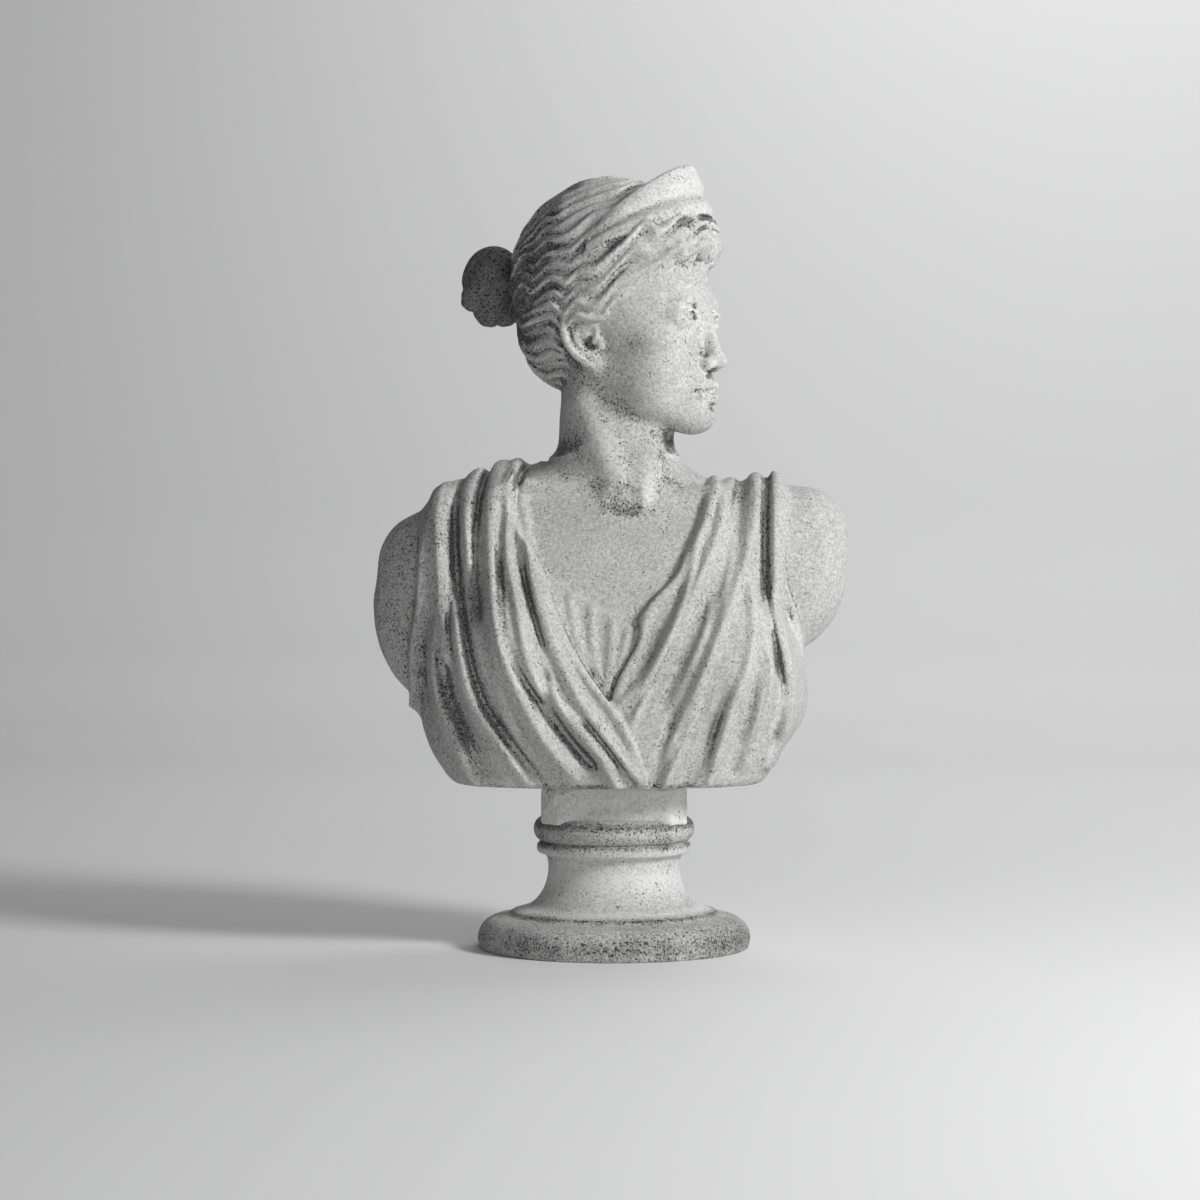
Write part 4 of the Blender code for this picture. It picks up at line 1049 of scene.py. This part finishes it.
def socleProfile():  # the turned part's outline, (radius, height) from its top down
    s = socle
    stepBase = s["footHeight"]
    hollowBase = stepBase + s["stepHeight"]
    collarBase = hollowBase + s["hollowHeight"]
    rollBase = collarBase + s["collarHeight"]
    top = rollBase + s["rollHeight"]
    rollBulge, collarBulge = s["rollHeight"] * 0.42, s["collarHeight"] * 0.42
    hollow = s["stepRadius"] - 0.004 - s["waistRadius"]
    flare = (s["collarRadius"] - s["waistRadius"]) * 0.45
    flareHeight = s["hollowHeight"] * 0.24
    waistLevel = collarBase - flareHeight
    footBulge = 0.020
    points = [(0.0, top)]
    points += arc(s["rollRadius"] - rollBulge, (rollBase + top) / 2, rollBulge,
                  s["rollHeight"] / 2, 90, -80, 16)
    points += arc(s["collarRadius"] - collarBulge, (collarBase + rollBase) / 2, collarBulge,
                  s["collarHeight"] / 2, 75, -90, 10)
    points += arc(s["waistRadius"] + flare, waistLevel, -flare, flareHeight, 90, 15, 8)
    points += arc(s["waistRadius"] + hollow, waistLevel, -hollow, -(waistLevel - hollowBase), 0, 82, 16)
    points += [(s["stepRadius"], hollowBase - s["stepHeight"] * 0.35), (s["stepRadius"] + 0.004, stepBase)]
    points += arc(s["footRadius"] - footBulge, s["footHeight"] * 0.28, footBulge,
                  s["footHeight"] * 0.66, 76, 0, 12)
    points += [(s["footRadius"] - 0.0015, 0.0015), (s["footRadius"] - 0.0035, 0.0), (0.0, 0.0)]
    return points, top


def turningTree():  # turns the profile curve into a closed solid
    tree = bpy.data.node_groups.new("turnedSocle", "GeometryNodeTree")
    face = tree.interface
    face.new_socket("Geometry", in_out="INPUT", socket_type="NodeSocketGeometry")
    steps = face.new_socket("Steps", in_out="INPUT", socket_type="NodeSocketInt")
    rows = face.new_socket("Rows", in_out="INPUT", socket_type="NodeSocketInt")
    wobble = face.new_socket("Wobble", in_out="INPUT", socket_type="NodeSocketFloat")
    finish = face.new_socket("Finish", in_out="INPUT", socket_type="NodeSocketMaterial")
    face.new_socket("Geometry", in_out="OUTPUT", socket_type="NodeSocketGeometry")
    link = tree.links.new

    def add(kind, **settings):
        node = tree.nodes.new(kind)
        for key, value in settings.items():
            setattr(node, key, value)
        return node

    given = add("NodeGroupInput")
    drum = add("GeometryNodeMeshCylinder", fill_type="TRIANGLE_FAN")
    drum.inputs["Radius"].default_value = 1.0
    drum.inputs["Depth"].default_value = 1.0
    link(given.outputs["Steps"], drum.inputs["Vertices"])
    link(given.outputs["Rows"], drum.inputs["Side Segments"])
    place = add("GeometryNodeInputPosition")
    split = add("ShaderNodeSeparateXYZ")
    link(place.outputs[0], split.inputs[0])
    share = add("ShaderNodeMath", operation="SUBTRACT")  # 0 at the profile's top, 1 at its foot
    share.inputs[0].default_value = 0.5
    link(split.outputs["Z"], share.inputs[1])
    sample = add("GeometryNodeSampleCurve", mode="FACTOR", use_all_curves=False)
    link(given.outputs["Geometry"], sample.inputs["Curves"])
    link(share.outputs[0], sample.inputs["Factor"])
    along = add("ShaderNodeSeparateXYZ")
    link(sample.outputs["Position"], along.inputs[0])
    spread = add("ShaderNodeVectorMath", operation="SCALE")
    flat = add("ShaderNodeCombineXYZ")
    link(split.outputs["X"], flat.inputs["X"])
    link(split.outputs["Y"], flat.inputs["Y"])
    link(flat.outputs[0], spread.inputs[0])
    noise = add("ShaderNodeTexNoise")
    noise.inputs["Scale"].default_value = 28.0
    noise.inputs["Detail"].default_value = 3.0
    rise = add("ShaderNodeCombineXYZ")
    link(along.outputs["Z"], rise.inputs["Z"])
    turned = add("ShaderNodeVectorMath", operation="ADD")
    link(spread.outputs[0], turned.inputs[0])
    link(rise.outputs[0], turned.inputs[1])
    # the turner's slight wobble takes a little off the radius, and adds nothing to it
    spreadRough = add("ShaderNodeVectorMath", operation="SCALE")
    link(flat.outputs[0], spreadRough.inputs[0])
    link(along.outputs["X"], spreadRough.inputs["Scale"])
    link(spreadRough.outputs[0], noise.inputs["Vector"])
    sway = add("ShaderNodeMath", operation="MULTIPLY_ADD")
    link(noise.outputs["Fac"], sway.inputs[0])
    wobbleDown = add("ShaderNodeMath", operation="MULTIPLY")
    wobbleDown.inputs[1].default_value = -1.0
    link(given.outputs["Wobble"], wobbleDown.inputs[0])
    link(wobbleDown.outputs[0], sway.inputs[1])
    sway.inputs[2].default_value = 1.0
    radius = add("ShaderNodeMath", operation="MULTIPLY")
    link(along.outputs["X"], radius.inputs[0])
    link(sway.outputs[0], radius.inputs[1])
    link(radius.outputs[0], spread.inputs["Scale"])
    move = add("GeometryNodeSetPosition")
    link(drum.outputs["Mesh"], move.inputs["Geometry"])
    link(turned.outputs[0], move.inputs["Position"])
    real = add("GeometryNodeRealizeInstances")
    coat = add("GeometryNodeSetMaterial")
    out = add("NodeGroupOutput")
    link(move.outputs[0], real.inputs[0])
    link(real.outputs[0], coat.inputs["Geometry"])
    link(given.outputs["Finish"], coat.inputs["Material"])
    link(coat.outputs[0], out.inputs[0])
    return tree, {"steps": steps.identifier, "rows": rows.identifier, "wobble": wobble.identifier,
                  "finish": finish.identifier}


def makeSocle():
    finish = castStone("castStoneSocle")
    points, rollTop = socleProfile()
    curve = bpy.data.curves.new("socleProfile", "CURVE")
    curve.dimensions = "3D"
    line = curve.splines.new("POLY")
    inner = [p for p in points if p[0] > 0]
    line.points.add(len(inner) - 1)
    for point, (r, z) in zip(line.points, inner):
        point.co = (r, 0.0, z, 1.0)
    obj = bpy.data.objects.new("socleTurned", curve)
    bpy.context.scene.collection.objects.link(obj)
    tree, inputs = turningTree()
    turned = obj.modifiers.new("turned", "NODES")
    turned.node_group = tree
    turned[inputs["steps"]] = socle["steps"]
    turned[inputs["rows"]] = socle["rows"]
    turned[inputs["wobble"]] = socle["wobble"]
    turned[inputs["finish"]] = finish
    made = applied(obj)
    made.name = "socleTurned"
    made.data.shade_smooth()
    block = makeBlock(rollTop)
    block.data.materials.append(castStone("castStoneBlock", "hollow", "crest", socle["blockCleanAndLit"]))
    for piece in (made, block):
        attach(piece, "root")
        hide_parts("socle")
    report("socle")


def makeBlock(rollTop):  # the block between roll and bust, its faces and edges worn
    halfX, halfY, chamfer = (1000 * socle[key] for key in ("blockWidth", "blockDepth", "blockChamfer"))
    halfX, halfY, halfZ = halfX / 2, halfY / 2, 500 * socle["blockHeight"]

    def shape(p):
        toX, toY, toZ = halfX - np.abs(p[..., 0]), halfY - np.abs(p[..., 1]), halfZ - np.abs(p[..., 2])
        toCorner = (toX + toY - chamfer) * 0.7071
        depth = blendMin(blendMin(blendMin(toX, toY, 3.0), toCorner, 3.0), toZ, 3.0)
        edge = np.minimum(np.maximum(np.abs(toCorner), np.minimum(toX, toY)), toZ + np.minimum(toX, toY))
        bite = np.maximum(uneven(p * 2.2) - 0.25, 0.0) * (1 - smoothStep(edge, 1.0, 6.0))
        return 0.5 * np.abs(uneven(p * 0.8)) + 2.4 * bite - depth

    def build(clay):
        clay.add((-80, -70, -30), (80, 70, 30), shape, 0.1)

    low = rollTop - socle["blockSink"]
    reach = np.array([halfX + 8, halfY + 8, halfZ + 8])
    cell = socle["blockCell"]
    level = low + socle["blockHeight"] / 2
    return meshOfField("socleBlock", build, -reach, reach, cell, socle["blockTriangles"], level)


# Floor, light and camera

studio = {
    "keyLight": ((1.85, -1.4, 1.45), (0, 0, 0.42), 0.6, 56.0),  # place, aim, size and power
    "fillLight": ((0.5, -2.5, 0.5), (0, 0, 0.4), 1.2, 9.0),
    "wallLight": ((1.2, 1.7, 3.0), (1.2, 3.4, 0.5), 2.2, 46.0),
    "roomLight": 0.14,
    "wall": (0.80, 0.80, 0.80, 1.0),
    "cameraPlace": (-0.0137, -2.95, 0.37),
    "cameraTilt": 89.41,
    "lens": 90.3,
}


def makeStudio():
    profile = [(-3.6, 0.0), (2.8, 0.0), (3.1, 0.05), (3.3, 0.2), (3.38, 0.5), (3.4, 3.6)]
    vertices = [(x, y, z) for y, z in profile for x in (-4.0, 4.0)]
    faces = [(2 * i, 2 * i + 1, 2 * i + 3, 2 * i + 2) for i in range(len(profile) - 1)]
    floor = addMesh("floorAndWall", vertices, faces)
    floor.data.shade_smooth()
    shade = Shade("paleWall")
    shade.shader.inputs["Base Color"].default_value = studio["wall"]
    shade.shader.inputs["Roughness"].default_value = 0.8
    floor.data.materials.append(shade.material)
    world = bpy.data.worlds.new("room")
    bpy.context.scene.world = world
    world.use_nodes = True
    world.node_tree.nodes["Background"].inputs["Color"].default_value = (0.93, 0.94, 0.95, 1.0)
    world.node_tree.nodes["Background"].inputs["Strength"].default_value = studio["roomLight"]
    for name, place, aim, size, power in (
        ("keyLight", *studio["keyLight"]),
        ("fillLight", *studio["fillLight"]),
        ("wallLight", *studio["wallLight"]),
    ):
        light = bpy.data.lights.new(name, "AREA")
        light.size, light.energy = size, power
        lamp = bpy.data.objects.new(name, light)
        lamp.location = place
        lamp.rotation_euler = (Vector(aim) - Vector(place)).to_track_quat("-Z", "Y").to_euler()
        bpy.context.scene.collection.objects.link(lamp)
    camera = bpy.data.cameras.new("camera")
    camera.lens, camera.sensor_width = studio["lens"], 36.0
    view = bpy.data.objects.new("camera", camera)
    view.location = studio["cameraPlace"]
    view.rotation_euler = (math.radians(studio["cameraTilt"]), 0.0, 0.0)
    bpy.context.scene.collection.objects.link(view)
    bpy.context.scene.camera = view
    bpy.context.scene.view_settings.view_transform = "Standard"
    report("studio")


makeBust()
makeSocle()
makeStudio()
